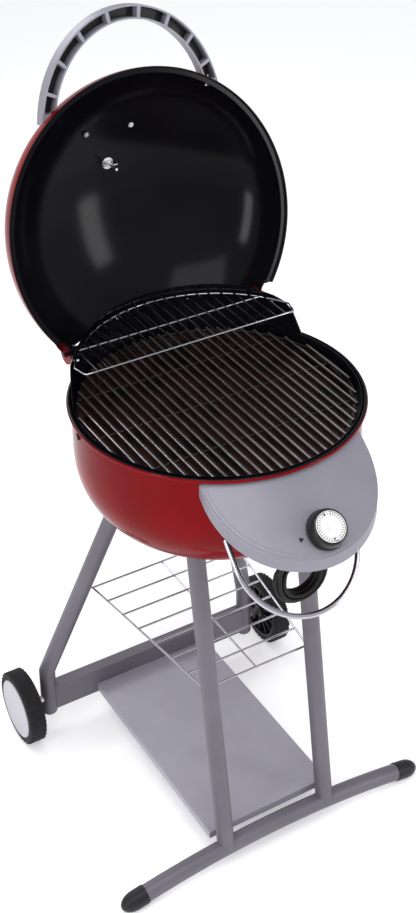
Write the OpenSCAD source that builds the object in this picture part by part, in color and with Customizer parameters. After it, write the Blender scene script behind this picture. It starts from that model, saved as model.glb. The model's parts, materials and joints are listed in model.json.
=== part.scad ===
// Patio kettle grill on a two-wheeled cart, electric, with its lid open.
// Millimetres. The origin is on the floor under the middle of the bowl,
// +X is the grill's right-hand side seen from the front, -Y is the front.

/* [Firebox] */
// Height of the cooking rim above the floor
rim_z = 874; // [820:1:1000]
// Outer radius of the bowl's wall
bowl_r = 247; // [215:1:300]
// Depth of the curved part of the bowl
bowl_curve_h = 173; // [140:1:210]
// Height of the straight wall above the curve
bowl_wall_h = 74; // [60:1:90]
// Thickness of the pressed steel
sheet = 1.6; // [1.2:0.1:2.4]
// Radius of the rolled bead at the rim
rim_bead_r = 4; // [3:0.5:6]
// Height of the rear wall above the rim
rear_wall_h = 84; // [75:1:88]
// Diameter of the cooking grate's rods
grate_rod = 5; // [4:0.5:7]
// Number of rods across the cooking grate
grate_rods = 27; // [19:2:33]

/* [Lid] */
// Depth of the lid's dome
dome_h = 170; // [164:1:195]
// Width of the air gap between the rear wall and the lid's edge
lid_gap = 22.5; // [17:0.5:26]
// Lid angle between closed and fully open
lid_travel = 104.5; // [90:0.5:106]
// Distance of the hinge pins behind the bowl's middle
hinge_y = 190; // [180:1:194]
// Height of the hinge pins above the rim
hinge_h = 37; // [34:1:42]
// Diameter of the hinge pins
hinge_pin_d = 8; // [6:1:10]
// Reach of the handle in front of its feet
handle_reach = 199; // [165:1:215]
// Half width of the handle
handle_half_w = 171; // [140:1:180]
// Width of the handle's bar
handle_bar = 24; // [18:1:28]
// Height of the handle's bar
handle_h = 22; // [16:1:26]

/* [Control panel] */
// Half width of the control panel
panel_half_w = 152; // [130:1:165]
// Reach of the control panel in front of the bowl's middle
panel_reach = 353; // [335:1:370]
// Slope of the control panel's face
panel_slope = 41; // [36:1:46]
// Height of the control panel's skirt
skirt_h = 25; // [18:1:32]
// Wall of the control panel
panel_wall = 2.6; // [2:0.1:3.5]
// Diameter of the knob
knob_d = 66; // [50:1:72]
// Height of the knob
knob_h = 24; // [16:1:30]
// Turn of the knob from off to full heat
knob_turn = 270; // [180:5:300]
// Half width of the towel ring
ring_half_w = 112; // [95:1:120]
// Diameter of the towel ring's tube
ring_tube_d = 9.5; // [8:0.5:12]

/* [Cart] */
// Diameter of the leg tubes
tube_d = 32; // [28:1:36]
// Wall of the leg tubes
tube_wall = 1.5; // [1.2:0.1:2.5]
// Half distance between the front legs
front_leg_x = 108; // [98:1:118]
// Distance of the foot bar in front of the bowl's middle
foot_y = -206; // [-225:1:-196]
// Half length of the foot bar between its caps
foot_half_w = 275; // [245:1:300]
// Half distance between the rear legs
rear_leg_x = 231; // [215:1:250]
// Distance of the rear legs behind the bowl's middle
rear_leg_y = 278; // [265:1:295]
// Diameter of the wheels
wheel_d = 148; // [120:1:170]
// Width of the wheels
wheel_w = 35; // [26:1:40]
// Diameter of the axle bolts
axle_d = 10; // [8:1:12]
// Half width of the lower shelf
shelf_half_w = 128; // [118:1:150]
// Height of the lower shelf's top
shelf_z = 66; // [60:1:74]
// Height of the wire shelf
wire_shelf_z = 367; // [330:1:400]

/* [Cord] */
// Diameter of the mains lead
cord_d = 7; // [6:0.5:8]

/* [Hidden] */
$fn = 48;
WIRE_FN = 8;
CURVE_N = 14;
run_gap = 0.05;
seat_gap = 0.3;

// Firebox levels and radii
bowl_m = 2.6;
curve_z = rim_z - bowl_wall_h;
liner_r = bowl_r - sheet - 0.6;
bead_out_r = bowl_r + 2 * rim_bead_r;
wall_in = liner_r - sheet;
grate_r = wall_in - 5;
grate_z = rim_z - 12;
cross_z = grate_z - grate_rod + 0.5;
ledge_z = cross_z - grate_rod / 2 - 1.4 - seat_gap;
ledge_w = 12;
emitter_z = ledge_z - 22;
emitter_r = wall_in - ledge_w - 1;
element_z = emitter_z - 42;
element_R = 140;
element_rod = 8;
pan_z = curve_z - 78;
pan_depth = 8;
rack_z = rim_z + 60;
rack_r = wall_in - 7;
rack_front_y = 76;
rack_wire = 3.2;

// Lid, drawn closed and turned to its rest about the hinge pins
lid_r = liner_r + lid_gap + sheet;
lid_edge_h = 1;
hinge_z = rim_z + hinge_h;
hinge_shell_x = lid_r * sqrt(1 - pow(hinge_h / dome_h, 2) - pow(hinge_y / lid_r, 2));
ear_x = round(hinge_shell_x) + 5;
ear_t = 3;
collar_t = 2;
ear_r = 20;
boss_x = ear_x - 1.2;
boss_r = 8;
head_x = ear_x + ear_t + 0.2;
wall_lean_h = 0.68 * rear_wall_h;
wall_clear = 2.6;
wall_top_r = (lid_r - sheet) * sqrt(1 - pow(rear_wall_h / (dome_h - sheet), 2)) - wall_clear;
thermo_y = -91;
thermo_r = 31;
bezel_h = 11;
badge_y = -156;
badge_half = 44;
handle_drop = 5;
handle_feet_y = -177;
handle_feet_h = 42;
handle_wall = 3;
handle_foot_y = handle_feet_y - 28;
handle_solid_y = handle_feet_y - 45;
bolt_r = 2.5;
handle_bolt = [[handle_half_w - 19, -209, 32], [handle_half_w - 13, -228, 32]];
stud_d = 5;

// Control panel: an ellipse in plan whose face is a cone about the bowl's axis
panel_y = -213;
panel_b = panel_reach + panel_y;
face_r = 324;
face_z = rim_z - 78;
panel_n = 64;
edge_bevel = 7;
flange_z = rim_z - 40;
flange_turn = 30;
box_half_w = 48;
box_front_y = -298;
box_z = rim_z - 136;
box_h = 62;
box_wall = 2;
knob_clear = 1;
knob_face_d = 51;
shaft_d = 6;
stat_half = 13;
stat_depth = 22;
ring_tilt = 43;
ring_y = -245;
ring_z = rim_z - 162;
ring_leg = 66;

// Cart
tube_r = tube_d / 2;
cap_r = tube_r + 1.6;
cap_len = 50;
bar_end_z = 21;
bar_rise = 24;
bar_R = (foot_half_w * foot_half_w + bar_rise * bar_rise) / (2 * bar_rise);
bar_mid_z = bar_end_z + bar_rise;
bar_end_a = asin(foot_half_w / bar_R);
front_lean = 9.2;
knee_z = 142;
rear_heading = atan2(-0.2568, -0.2732);
rear_lean = 20.5;
rear_foot_z = 40;
wheel_r = wheel_d / 2;
axle_x = rear_leg_x + tube_r;
wheel_in_x = axle_x + 21.5;
wheel_out_x = wheel_in_x + wheel_w;
tire_t = 15;
crossbar_h = 58;
crossbar_t = 24;
crossbar_z = 44;
shelf_t = 1.4;
shelf_flange = 15;
shelf_front_y = foot_y + tube_r + 8;
shelf_back_y = rear_leg_y - crossbar_t / 2 - 0.5;
wire_d = 4;
screw_r = 3;
front_top_z = curve_z - 162;
rear_top_z = curve_z - 156;

// Cord: its hand-set route leaves the strain relief, drops and joins the coil;
// the tail rises from the coil and bends over into the plug that lies on it
cord_r = cord_d / 2;
coil_c = [6, -252, 656];
coil_out_r = 48;
coil_in_r = 33;
coil_w = 24;
hook_r = 2.5;
relief_at = [-36, -266];
relief_len = 30;
plug_at = [22, -254, 717.5];
plug_r = 12;
lead_in = [[-36, -266, 708], [-36, -266, 702], [-37, -265, 695], [-38, -263, 687], [-39, -261, 679],
    [-39, -260, 671], [-38.5, -260, 664]];
tail = [[50.5, -252, 664], [50.5, -252, 672], [50.5, -252, 680], [50, -252, 688], [48, -252.5, 697],
    [44, -253, 705], [37, -253.5, 712], [29, -254, 716.5], [22, -254, 717.5]];

// ---- helpers ----

// A straight round rod between two points
module rod(a, b, r, fn = 0) {
    v = b - a;
    l = norm(v);
    translate(a) rotate([0, acos(v[2] / l), atan2(v[1], v[0])]) cylinder(r = r, h = l, $fn = fn > 0 ? fn : $fn);
}

// Mirrors a copy to the other side of the grill
module both_sides() {
    children();
    mirror([1, 0, 0]) children();
}

// Radius and height of the bowl's curve, a superellipse, shrunk by t
function curve_r(s, t) = (bowl_r - t) * pow(cos(s), 2 / bowl_m);
function curve_h(s, t) = (bowl_curve_h - t) * pow(sin(s), 2 / bowl_m);
function bowl_outline(t, top) = concat(
    [[0, top], [bowl_r - t, top]],
    [for (i = [0:CURVE_N - 1]) let (s = 90 * i / CURVE_N) [curve_r(s, t), curve_z - curve_h(s, t)]],
    [[0, curve_z - bowl_curve_h + t]]);

// The bowl's space, shrunk by t, up to a level
module bowl_space(t, top) {
    rotate_extrude($fn = 96) polygon(bowl_outline(t, top));
}

// Points of the dome's quarter ellipse, shrunk by t
function dome_outline(t) = [for (i = [0:CURVE_N]) let (s = 90 * i / CURVE_N)
    [(lid_r - t) * cos(s), (dome_h - t) * sin(s)]];

module dome_space(t) {
    rotate_extrude($fn = 96) polygon(concat([[0, 0]], dome_outline(t)));
}

function dome_z(y, t) = (dome_h - t) * sqrt(1 - pow(y / (lid_r - t), 2));
function dome_tilt(y) = atan2(-y / (lid_r * lid_r), dome_z(y, 0) / (dome_h * dome_h));

// Lays closed-lid coordinates, from the rim's middle, at the open rest
module open_lid() {
    translate([0, hinge_y, hinge_z]) rotate([-lid_travel, 0, 0]) translate([0, -hinge_y, -hinge_h]) children();
}

// Places children on the dome's outside at y, with +Z along the surface's normal
module on_dome(y) {
    translate([0, y, dome_z(y, 0)]) rotate([dome_tilt(y), 0, 0]) children();
}

// ---- cart ----

module bar_core(r) {
    translate([0, foot_y, bar_mid_z - bar_R]) rotate([90, 0, 0]) rotate([0, 0, 90 - bar_end_a])
        rotate_extrude(angle = 2 * bar_end_a, $fn = 96) translate([bar_R, 0]) circle(r = r, $fn = 32);
}

module foot_bar() {
    color([0.45, 0.43, 0.47]) difference() {
        bar_core(tube_r);
        bar_core(tube_r - tube_wall);
    }
}

// Bullet-shaped cap on the foot bar's end, flat where it stands on the floor
module foot_cap() {
    nose = cap_len - 22;
    intersection() {
        translate([foot_half_w, foot_y, bar_end_z]) rotate([0, 90 + bar_end_a, 0]) rotate_extrude($fn = 48)
            polygon(concat([[0, 0], [cap_r, 0]],
                [for (i = [0:8]) [cap_r * cos(90 * i / 8), 22 + nose * sin(90 * i / 8)]]));
        translate([0, foot_y - 50, 0]) cube([600, 100, 100]);
    }
}

module foot_caps() {
    color([0.09, 0.09, 0.1]) both_sides() foot_cap();
}

function front_leg_at(z) = [front_leg_x, foot_y + (z - bar_mid_z) * tan(front_lean), z];

module front_leg() {
    lo = front_leg_at(bar_mid_z - 6);
    hi = front_leg_at(curve_z - 40);
    color([0.42, 0.4, 0.44]) difference() {
        rod(lo, hi, tube_r);
        rod(front_leg_at(bar_mid_z - 26), front_leg_at(curve_z + 60), tube_r - tube_wall);
        bar_core(tube_r);
        bowl_space(0, rim_z);
    }
}

module front_leg_right() {
    front_leg();
}

module front_leg_left() {
    mirror([1, 0, 0]) front_leg();
}

// Rear leg: a vertical foot, a knee and a slanting part that ends on the bowl
module rear_leg_core(r) {
    translate([rear_leg_x, rear_leg_y, 0]) union() {
        translate([0, 0, rear_foot_z]) cylinder(r = r, h = knee_z - rear_foot_z);
        translate([0, 0, knee_z]) sphere(r = r);
        translate([0, 0, knee_z]) rotate([0, 0, rear_heading]) rotate([0, rear_lean, 0])
            cylinder(r = r, h = (curve_z - 60 - knee_z) / cos(rear_lean));
    }
}

function rear_leg_at(z) = [rear_leg_x, rear_leg_y, z]
    + (z - knee_z) * tan(rear_lean) * [cos(rear_heading), sin(rear_heading), 0];

module rear_leg() {
    color([0.42, 0.4, 0.44]) difference() {
        rear_leg_core(tube_r);
        rear_leg_core(tube_r - tube_wall);
        bowl_space(0, rim_z);
        axle_hole();
    }
}

module rear_leg_right() {
    rear_leg();
}

module rear_leg_left() {
    mirror([1, 0, 0]) rear_leg();
}

module axle_hole() {
    translate([rear_leg_x - 40, rear_leg_y, wheel_r]) rotate([0, 90, 0]) cylinder(d = axle_d, h = 80);
}

module rear_leg_plugs() {
    color([0.3, 0.29, 0.31]) both_sides() translate([rear_leg_x, rear_leg_y, rear_foot_z])
        rotate_extrude($fn = 48) polygon(concat(
            [[0, 0], [0, 14], [tube_r - tube_wall, 14], [tube_r - tube_wall, 0]],
            [for (i = [0:6]) [tube_r * cos(90 * i / 6), -10 * sin(90 * i / 6)]]));
}

module rear_crossbar() {
    color([0.42, 0.4, 0.44]) difference() {
        translate([-rear_leg_x, rear_leg_y - crossbar_t / 2, crossbar_z])
            cube([2 * rear_leg_x, crossbar_t, crossbar_h]);
        translate([-rear_leg_x - 1, rear_leg_y - crossbar_t / 2 + tube_wall, crossbar_z + tube_wall])
            cube([2 * rear_leg_x + 2, crossbar_t - 2 * tube_wall, crossbar_h - 2 * tube_wall]);
        both_sides() translate([rear_leg_x, rear_leg_y, 0]) cylinder(r = tube_r, h = 200, $fn = 48);
        both_sides() axle_head(0);
    }
}

// Round head of an axle bolt with its washer, inside the crossbar's end
module axle_head(t) {
    translate([rear_leg_x - tube_r - 7, rear_leg_y, wheel_r]) rotate([0, 90, 0])
        cylinder(r = axle_d * 0.8 - t, h = 8);
}

module axle_bolt() {
    color([0.75, 0.75, 0.77]) union() {
        difference() {
            axle_head(0);
            translate([rear_leg_x, rear_leg_y, 0]) cylinder(r = tube_r, h = 200, $fn = 48);
        }
        translate([rear_leg_x - tube_r - 6, rear_leg_y, wheel_r]) rotate([0, 90, 0])
            cylinder(d = axle_d, h = wheel_out_x - rear_leg_x + tube_r + 1);
        translate([wheel_out_x - 10 + run_gap, rear_leg_y, wheel_r]) rotate([0, 90, 0])
            cylinder(r = axle_d * 0.8, h = 6, $fn = 6);
        difference() {
            translate([rear_leg_x + tube_r - 4, rear_leg_y, wheel_r]) rotate([0, 90, 0])
                cylinder(r = axle_d * 0.8, h = wheel_in_x - axle_x + 4 - run_gap);
            translate([rear_leg_x, rear_leg_y, 0]) cylinder(r = tube_r, h = 200, $fn = 48);
        }
    }
}

module axle_bolt_right() {
    axle_bolt();
}

module axle_bolt_left() {
    mirror([1, 0, 0]) axle_bolt();
}

module at_wheel() {
    translate([wheel_in_x, rear_leg_y, wheel_r]) rotate([0, 90, 0]) children();
}

// Wheel hub: centre boss, web with ribs, and the rim that the tyre sits on
module wheel_hub() {
    rim_in = wheel_r - tire_t;
    color([0.12, 0.12, 0.13]) at_wheel() difference() {
        union() {
            difference() {
                cylinder(r = rim_in, h = wheel_w - 3, $fn = 64);
                translate([0, 0, -1]) cylinder(r = rim_in - 4, h = wheel_w - 8 + 1, $fn = 64);
                translate([0, 0, wheel_w - 4]) cylinder(r = rim_in - 6, h = 10, $fn = 64);
            }
            cylinder(r = axle_d * 1.3, h = wheel_w - 10 - run_gap);
            for (a = [0:30:330]) rotate([0, 0, a]) translate([axle_d, -1.5, 3])
                cube([rim_in - axle_d - 2, 3, wheel_w - 10]);
        }
        translate([0, 0, -1]) cylinder(r = axle_d / 2 + run_gap, h = wheel_w + 2);
        translate([0, 0, wheel_w - 10]) cylinder(r = axle_d * 1.05, h = 20);
    }
}

module tire() {
    color([0.07, 0.07, 0.08]) at_wheel() rotate_extrude($fn = 96) polygon([
        [wheel_r - tire_t, 0], [wheel_r - 6, 0], [wheel_r - 2, 2.5], [wheel_r, 7],
        [wheel_r, wheel_w - 7], [wheel_r - 2, wheel_w - 2.5], [wheel_r - 6, wheel_w],
        [wheel_r - tire_t + 1, wheel_w], [wheel_r - tire_t + 1, wheel_w - 3], [wheel_r - tire_t, wheel_w - 3]]);
}

// Hub cap: a flat disc that snaps into the hub's rim
module hub_cap() {
    cap = wheel_r - tire_t;
    color([0.72, 0.72, 0.74]) at_wheel() translate([0, 0, wheel_w - 3]) rotate_extrude($fn = 96)
        polygon([[0, 0.5], [cap - 8, 0.5], [cap - 8, -1], [cap - 6, -1], [cap - 6, 0], [cap, 0], [cap, 3.4],
            [cap - 2, 4.4], [cap - 6, 4], [0, 4.4]]);
}

module wheel_hub_right() {
    wheel_hub();
}

module wheel_hub_left() {
    mirror([1, 0, 0]) wheel_hub();
}

module tire_right() {
    tire();
}

module tire_left() {
    mirror([1, 0, 0]) tire();
}

module hub_cap_right() {
    hub_cap();
}

module hub_cap_left() {
    mirror([1, 0, 0]) hub_cap();
}

// Plugs in the tops of the four legs, and the bolts that hold the bowl on them
module leg_tops() {
    both_sides() {
        let (p = front_leg_at(front_top_z), q = front_leg_at(front_top_z + 10)) leg_frame(p, q) children();
        let (p = rear_leg_at(rear_top_z), q = rear_leg_at(rear_top_z + 10)) leg_frame(p, q) children();
    }
}

module leg_frame(p, q) {
    v = q - p;
    translate(p) rotate([0, acos(v[2] / norm(v)), atan2(v[1], v[0])]) children();
}

module leg_top_plugs() {
    color([0.3, 0.29, 0.31]) leg_tops() difference() {
        translate([0, 0, -24]) cylinder(r = tube_r - tube_wall, h = 20, $fn = 48);
        translate([0, 0, -30]) cylinder(r = screw_r, h = 40);
    }
}

module leg_bolt_core() {
    leg_tops() translate([0, 0, -24]) cylinder(r = screw_r, h = 42);
}

module leg_bolts() {
    color([0.75, 0.75, 0.77]) union() {
        leg_bolt_core();
        intersection() {
            leg_tops() cylinder(r = 2.2 * screw_r, h = 20);
            bowl_space(sheet, rim_z - 50);
        }
    }
}

module lower_shelf() {
    color([0.6, 0.58, 0.63]) difference() {
        translate([-shelf_half_w, shelf_front_y, shelf_z - shelf_flange])
            cube([2 * shelf_half_w, shelf_back_y - shelf_front_y, shelf_flange]);
        translate([-shelf_half_w + shelf_t, shelf_front_y + shelf_t, shelf_z - shelf_flange - 1])
            cube([2 * (shelf_half_w - shelf_t), shelf_back_y - shelf_front_y - 2 * shelf_t,
                shelf_flange + 1 - shelf_t]);
        both_sides() translate([front_leg_x, shelf_front_y - 1, shelf_z - shelf_flange / 2]) rotate([-90, 0, 0])
            cylinder(r = screw_r, h = 10);
        both_sides() translate([front_leg_x * 0.8, shelf_back_y - 8, shelf_z - shelf_flange / 2])
            rotate([-90, 0, 0]) cylinder(r = screw_r, h = 10);
    }
}

// Spacer sleeves and screws that hold the shelf to the front legs and to the crossbar
module shelf_screws() {
    leg_back = front_leg_at(shelf_z - shelf_flange / 2)[1] + tube_r;
    color([0.75, 0.75, 0.77]) both_sides() {
        difference() {
            union() {
                translate([front_leg_x, foot_y, shelf_z - shelf_flange / 2]) rotate([-90, 0, 0])
                    cylinder(r = 2 * screw_r, h = shelf_front_y - foot_y);
                translate([front_leg_x, foot_y, shelf_z - shelf_flange / 2]) rotate([-90, 0, 0])
                    cylinder(r = screw_r, h = shelf_front_y - foot_y + 2);
                translate([front_leg_x, shelf_front_y + shelf_t, shelf_z - shelf_flange / 2]) rotate([-90, 0, 0])
                    cylinder(r = 1.8 * screw_r, h = 3);
            }
            rod(front_leg_at(bar_mid_z - 20), front_leg_at(curve_z), tube_r);
            bar_core(tube_r);
        }
        translate([front_leg_x * 0.8, shelf_back_y - shelf_t, shelf_z - shelf_flange / 2]) rotate([-90, 0, 0])
            cylinder(r = screw_r, h = shelf_t + 0.5);
        translate([front_leg_x * 0.8, shelf_back_y - shelf_t - 3, shelf_z - shelf_flange / 2])
            rotate([-90, 0, 0]) cylinder(r = 1.8 * screw_r, h = 3);
    }
}

wire_front_y = front_leg_at(wire_shelf_z)[1] + (tube_r + 0.2) / cos(front_lean) + wire_d / 2;
wire_back = rear_leg_at(wire_shelf_z) + [-tube_r - 1, -9, 0];
function wire_x(y) = front_leg_x + (wire_back[0] - front_leg_x) * (y - wire_front_y)
    / (wire_back[1] - wire_front_y);

// Wire shelf between the four legs
module wire_shelf() {
    rungs = 7;
    r = wire_d / 2;
    color([0.8, 0.8, 0.82]) union() {
        for (i = [0:rungs]) let (y = wire_front_y + (wire_back[1] - wire_front_y) * i / rungs)
            rod([-wire_x(y) - 0.5, y, wire_shelf_z], [wire_x(y) + 0.5, y, wire_shelf_z], r, WIRE_FN);
        both_sides() rod([front_leg_x, wire_front_y - 1, wire_shelf_z],
            [wire_back[0], wire_back[1] + 1, wire_shelf_z], r, WIRE_FN);
        rod([0, wire_front_y - 1, wire_shelf_z - wire_d * 0.7], [0, wire_back[1] + 1, wire_shelf_z - wire_d * 0.7],
            r, WIRE_FN);
    }
}

// ---- firebox ----

module bowl() {
    color([0.62, 0.05, 0.07]) difference() {
        union() {
            difference() {
                bowl_space(0, rim_z);
                bowl_space(sheet, rim_z + 1);
            }
            rotate_extrude($fn = 96) translate([bowl_r + rim_bead_r - 0.6, rim_z - rim_bead_r])
                circle(r = rim_bead_r, $fn = 32);
        }
        leg_bolt_core();
        wall_screw_shanks();
        panel_screw_shanks();
        element_core(element_rod / 2);
        ring_ends(ring_tube_d / 2, 0, ring_leg + 10);
        // Drain slot in the bottom
        translate([-14, -60, curve_z - bowl_curve_h - 5]) cube([28, 5, 14]);
    }
}

// Height of the rear wall's top above the rim at a distance behind the middle
function wall_top(y) = lookup(y, [[84, 0], [105, 0.52 * rear_wall_h], [132, 0.8 * rear_wall_h],
    [160, 0.93 * rear_wall_h], [200, rear_wall_h], [400, rear_wall_h]]);

// Fixed black ring inside the rim that rises to a wall behind the grate;
// the wall leans inwards at its top, so that the closed lid goes over it
module rear_wall() {
    depth = 62;
    lean_in = sheet * 1.1;
    color([0.05, 0.05, 0.055]) difference() {
        union() {
            translate([0, 0, rim_z - depth]) rotate_extrude($fn = 96) translate([wall_in, 0])
                square([sheet, depth]);
            intersection() {
                translate([0, 0, rim_z - 1]) rotate_extrude($fn = 96) polygon([[wall_in, 0], [liner_r, 0],
                    [liner_r, wall_lean_h + 1], [wall_top_r, rear_wall_h + 1],
                    [wall_top_r - lean_in, rear_wall_h + 1], [wall_in, wall_lean_h + 1]]);
                rotate([90, 0, 90]) linear_extrude(height = 700, center = true) polygon(concat(
                    [[84, rim_z - 1]], [for (y = [84, 105, 132, 160, 200, 400]) [y, rim_z + wall_top(y)]],
                    [[400, rim_z - 1]]));
            }
            translate([0, 0, ledge_z - sheet]) rotate_extrude($fn = 96)
                translate([wall_in - ledge_w, 0]) square([ledge_w + sheet / 2, sheet]);
        }
        wall_screw_shanks();
        panel_screw_shanks();
        peg_core();
        both_sides() at_hinge(100) cylinder(d = hinge_pin_d, h = 80);
    }
}

// Shanks of the two black screws through the bowl's sides into the ring
module wall_screw_shanks() {
    for (a = [8, 172]) rotate([0, 0, a]) translate([wall_in - 3, 0, rim_z - 24]) rotate([0, 90, 0])
        cylinder(r = screw_r, h = bowl_r - wall_in + 5);
}

module wall_screws() {
    color([0.06, 0.06, 0.06]) {
        wall_screw_shanks();
        for (a = [8, 172]) rotate([0, 0, a]) difference() {
            translate([bowl_r - 4, 0, rim_z - 24]) rotate([0, 90, 0]) cylinder(r = 2 * screw_r, h = 8);
            cylinder(r = bowl_r, h = 2000, $fn = 96);
        }
    }
}

// Ridged plate under the grate that spreads the element's heat
module emitter_plate() {
    pitch = 18;
    color([0.16, 0.07, 0.055]) union() {
            translate([0, 0, emitter_z]) rotate_extrude($fn = 96) polygon([
                [0, 0], [emitter_r, 0], [emitter_r, ledge_z - emitter_z], [emitter_r + 9, ledge_z - emitter_z],
                [emitter_r + 9, ledge_z - emitter_z + 1.4], [emitter_r - 1.4, ledge_z - emitter_z + 1.4],
                [emitter_r - 1.4, 1.4], [0, 1.4]]);
            intersection() {
                for (i = [-12:12]) translate([i * pitch, 0, emitter_z + 1.2]) rotate([90, 0, 0])
                    linear_extrude(height = 2 * emitter_r, center = true)
                        polygon([[-4, 0], [4, 0], [1.4, 8], [-1.4, 8]]);
                translate([0, 0, emitter_z]) cylinder(r = emitter_r - 8, h = 20, $fn = 96);
            }
    }
}

// Tubular heating element: an open ring whose two cold ends reach the control box
module element_core(r) {
    open_a = 12;
    end_x = element_R * sin(open_a);
    translate([0, 0, element_z]) {
        rotate([0, 0, -90 + open_a]) rotate_extrude(angle = 360 - 2 * open_a, $fn = 96)
            translate([element_R, 0]) circle(r = r, $fn = 24);
        both_sides() {
            rod([end_x, -element_R * cos(open_a) + 1, 0], [end_x, -bowl_r - 22, 0], r, 24);
            translate([end_x, -element_R * cos(open_a), 0]) cylinder(r = r, h = 2 * r, center = true, $fn = 24);
        }
    }
}

module heat_element() {
    color([0.25, 0.23, 0.22]) element_core(element_rod / 2);
}

// Shallow bright pan that rests on the bowl's curve under the element
module reflector_pan() {
    pan_t = 1.2;
    color([0.7, 0.7, 0.72]) difference() {
        intersection() {
            translate([0, 0, pan_z]) cylinder(r = bowl_r, h = pan_depth, $fn = 96);
            bowl_space(sheet, rim_z);
        }
        intersection() {
            translate([0, 0, pan_z + pan_t]) cylinder(r = bowl_r, h = pan_depth, $fn = 96);
            bowl_space(sheet + pan_t, rim_z);
        }
    }
}

// Three posts that carry the element on the pan
module element_posts() {
    color([0.66, 0.66, 0.68]) difference() {
        for (a = [30, 90, 150]) rotate([0, 0, a]) translate([element_R, 0, pan_z + 1.2])
            cylinder(r = 6, h = element_z - pan_z - 1.2);
        element_core(element_rod / 2);
    }
}

// Cooking grate: rods from front to back on three cross rods and a ring
module cooking_grate() {
    pitch = 2 * grate_r * 0.955 / (grate_rods - 1);
    r = grate_rod / 2;
    color([0.2, 0.18, 0.17]) union() {
        translate([0, 0, cross_z]) rotate_extrude($fn = 64) translate([grate_r - r, 0])
            circle(r = r, $fn = WIRE_FN);
        for (y = [-120, 0, 120]) let (h = sqrt(pow(grate_r - r, 2) - y * y))
            rod([-h, y, cross_z], [h, y, cross_z], r, WIRE_FN);
        for (i = [0:grate_rods - 1]) let (x = (i - (grate_rods - 1) / 2) * pitch,
            h = sqrt(pow(grate_r - r, 2) - x * x) + 1) rod([x, -h, grate_z], [x, h, grate_z], r, WIRE_FN);
    }
}

// Half-moon warming rack that hangs on four pegs in the rear wall
module warming_rack() {
    r = rack_wire / 2;
    end_a = 26;
    front_x = 204;
    wires = 20;
    tip = rack_r * [cos(end_a), sin(end_a)];
    color([0.7, 0.7, 0.72]) union() {
        rotate([0, 0, end_a]) translate([0, 0, rack_z]) rotate_extrude(angle = 180 - 2 * end_a, $fn = 96)
            translate([rack_r, 0]) circle(r = r, $fn = WIRE_FN);
        both_sides() rod([tip[0], tip[1] - 0.5, rack_z], [front_x, rack_front_y, rack_z], r, WIRE_FN);
        rod([-front_x - 0.5, rack_front_y, rack_z], [front_x + 0.5, rack_front_y, rack_z], r, WIRE_FN);
        rod([-180, 152, rack_z], [180, 152, rack_z], r, WIRE_FN);
        for (i = [1:wires]) let (x = -front_x + 2 * front_x * i / (wires + 1), h = sqrt(rack_r * rack_r - x * x))
            rod([x, rack_front_y, rack_z + rack_wire * 0.8], [x, h, rack_z + rack_wire * 0.8], r, WIRE_FN);
    }
}

module peg_core() {
    peg_r = 2.5;
    for (a = [34, 72, 108, 146]) rotate([0, 0, a])
        translate([rack_r - 5, 0, rack_z - rack_wire / 2 - peg_r - seat_gap]) rotate([0, 90, 0])
            cylinder(r = peg_r, h = liner_r - rack_r + 5 - 0.2);
}

module rack_pegs() {
    color([0.6, 0.6, 0.62]) peg_core();
}

// ---- hinge and lid ----

module at_hinge(x) {
    translate([x, hinge_y, hinge_z]) rotate([0, 90, 0]) children();
}

// Round bosses outside the wall that carry the hinge pins
module hinge_bosses() {
    color([0.05, 0.05, 0.055]) both_sides() difference() {
        at_hinge(140) cylinder(r = boss_r, h = boss_x - 140);
        cylinder(r = liner_r, h = 2000, $fn = 96);
        at_hinge(130) cylinder(d = hinge_pin_d, h = 60);
    }
}

// Shoulder bolts through the wall, the bosses and the lid's ears, with nuts inside the wall
module hinge_pins() {
    color([0.06, 0.06, 0.06]) both_sides() {
        at_hinge(146) cylinder(d = hinge_pin_d, h = head_x - 146);
        at_hinge(head_x) rotate_extrude($fn = 48) polygon(concat([[0, 0]],
            [for (i = [0:6]) [hinge_pin_d * cos(90 * i / 6), 5 * sin(90 * i / 6)]]));
        intersection() {
            at_hinge(148) cylinder(r = 0.85 * hinge_pin_d, h = 10, $fn = 6);
            cylinder(r = wall_in, h = 2000, $fn = 96);
        }
    }
}

module hinge_washers() {
    color([0.6, 0.6, 0.62]) both_sides() difference() {
        at_hinge(boss_x) cylinder(r = boss_r, h = ear_x - boss_x - 0.2);
        at_hinge(boss_x - 1) cylinder(d = hinge_pin_d, h = 10);
    }
}

// Closed-lid coordinates, where the rim's middle is the origin: an axle line through both ears
module ear_line(x, r, h) {
    both_sides() translate([x, hinge_y, hinge_h]) rotate([0, 90, 0]) cylinder(r = r, h = h);
}

// What is cut from the dome behind the hinge pins and in the rim's rear corners
module lid_cut() {
    far = 300;
    translate([-far, hinge_y, -1]) cube([2 * far, far, far]);
    translate([-far, hinge_y - 30, -1]) cube([2 * far, far, hinge_h - 15]);
    ear_line(100, ear_r, 150);
}

// The half space below a plane that follows the shell's outside at the right ear, moved out by t
module under_shell(t) {
    far = 200;
    at = lid_r * sqrt(1 - pow(hinge_h / dome_h, 2) - pow(hinge_y / lid_r, 2));
    n = [at / pow(lid_r, 2), hinge_y / pow(lid_r, 2), hinge_h / pow(dome_h, 2)];
    translate([at, hinge_y, hinge_h]) rotate([0, 0, atan2(n[1], n[0])])
        rotate([0, acos(n[2] / norm(n)), 0]) translate([-far, -far, t - 2 * far])
            cube([2 * far, 2 * far, 2 * far]);
}

// What is cut from a round bar beside one face of the right ear's disc, between two x, to leave a collar
module collar_cut(x0, x1) {
    far = 100;
    translate([x0, hinge_y, hinge_h]) rotate([0, 90, 0]) cylinder(r = ear_r - collar_t, h = x1 - x0);
    translate([x0, hinge_y, hinge_h - far]) cube([x1 - x0, far, 2 * far]);
}

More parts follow.
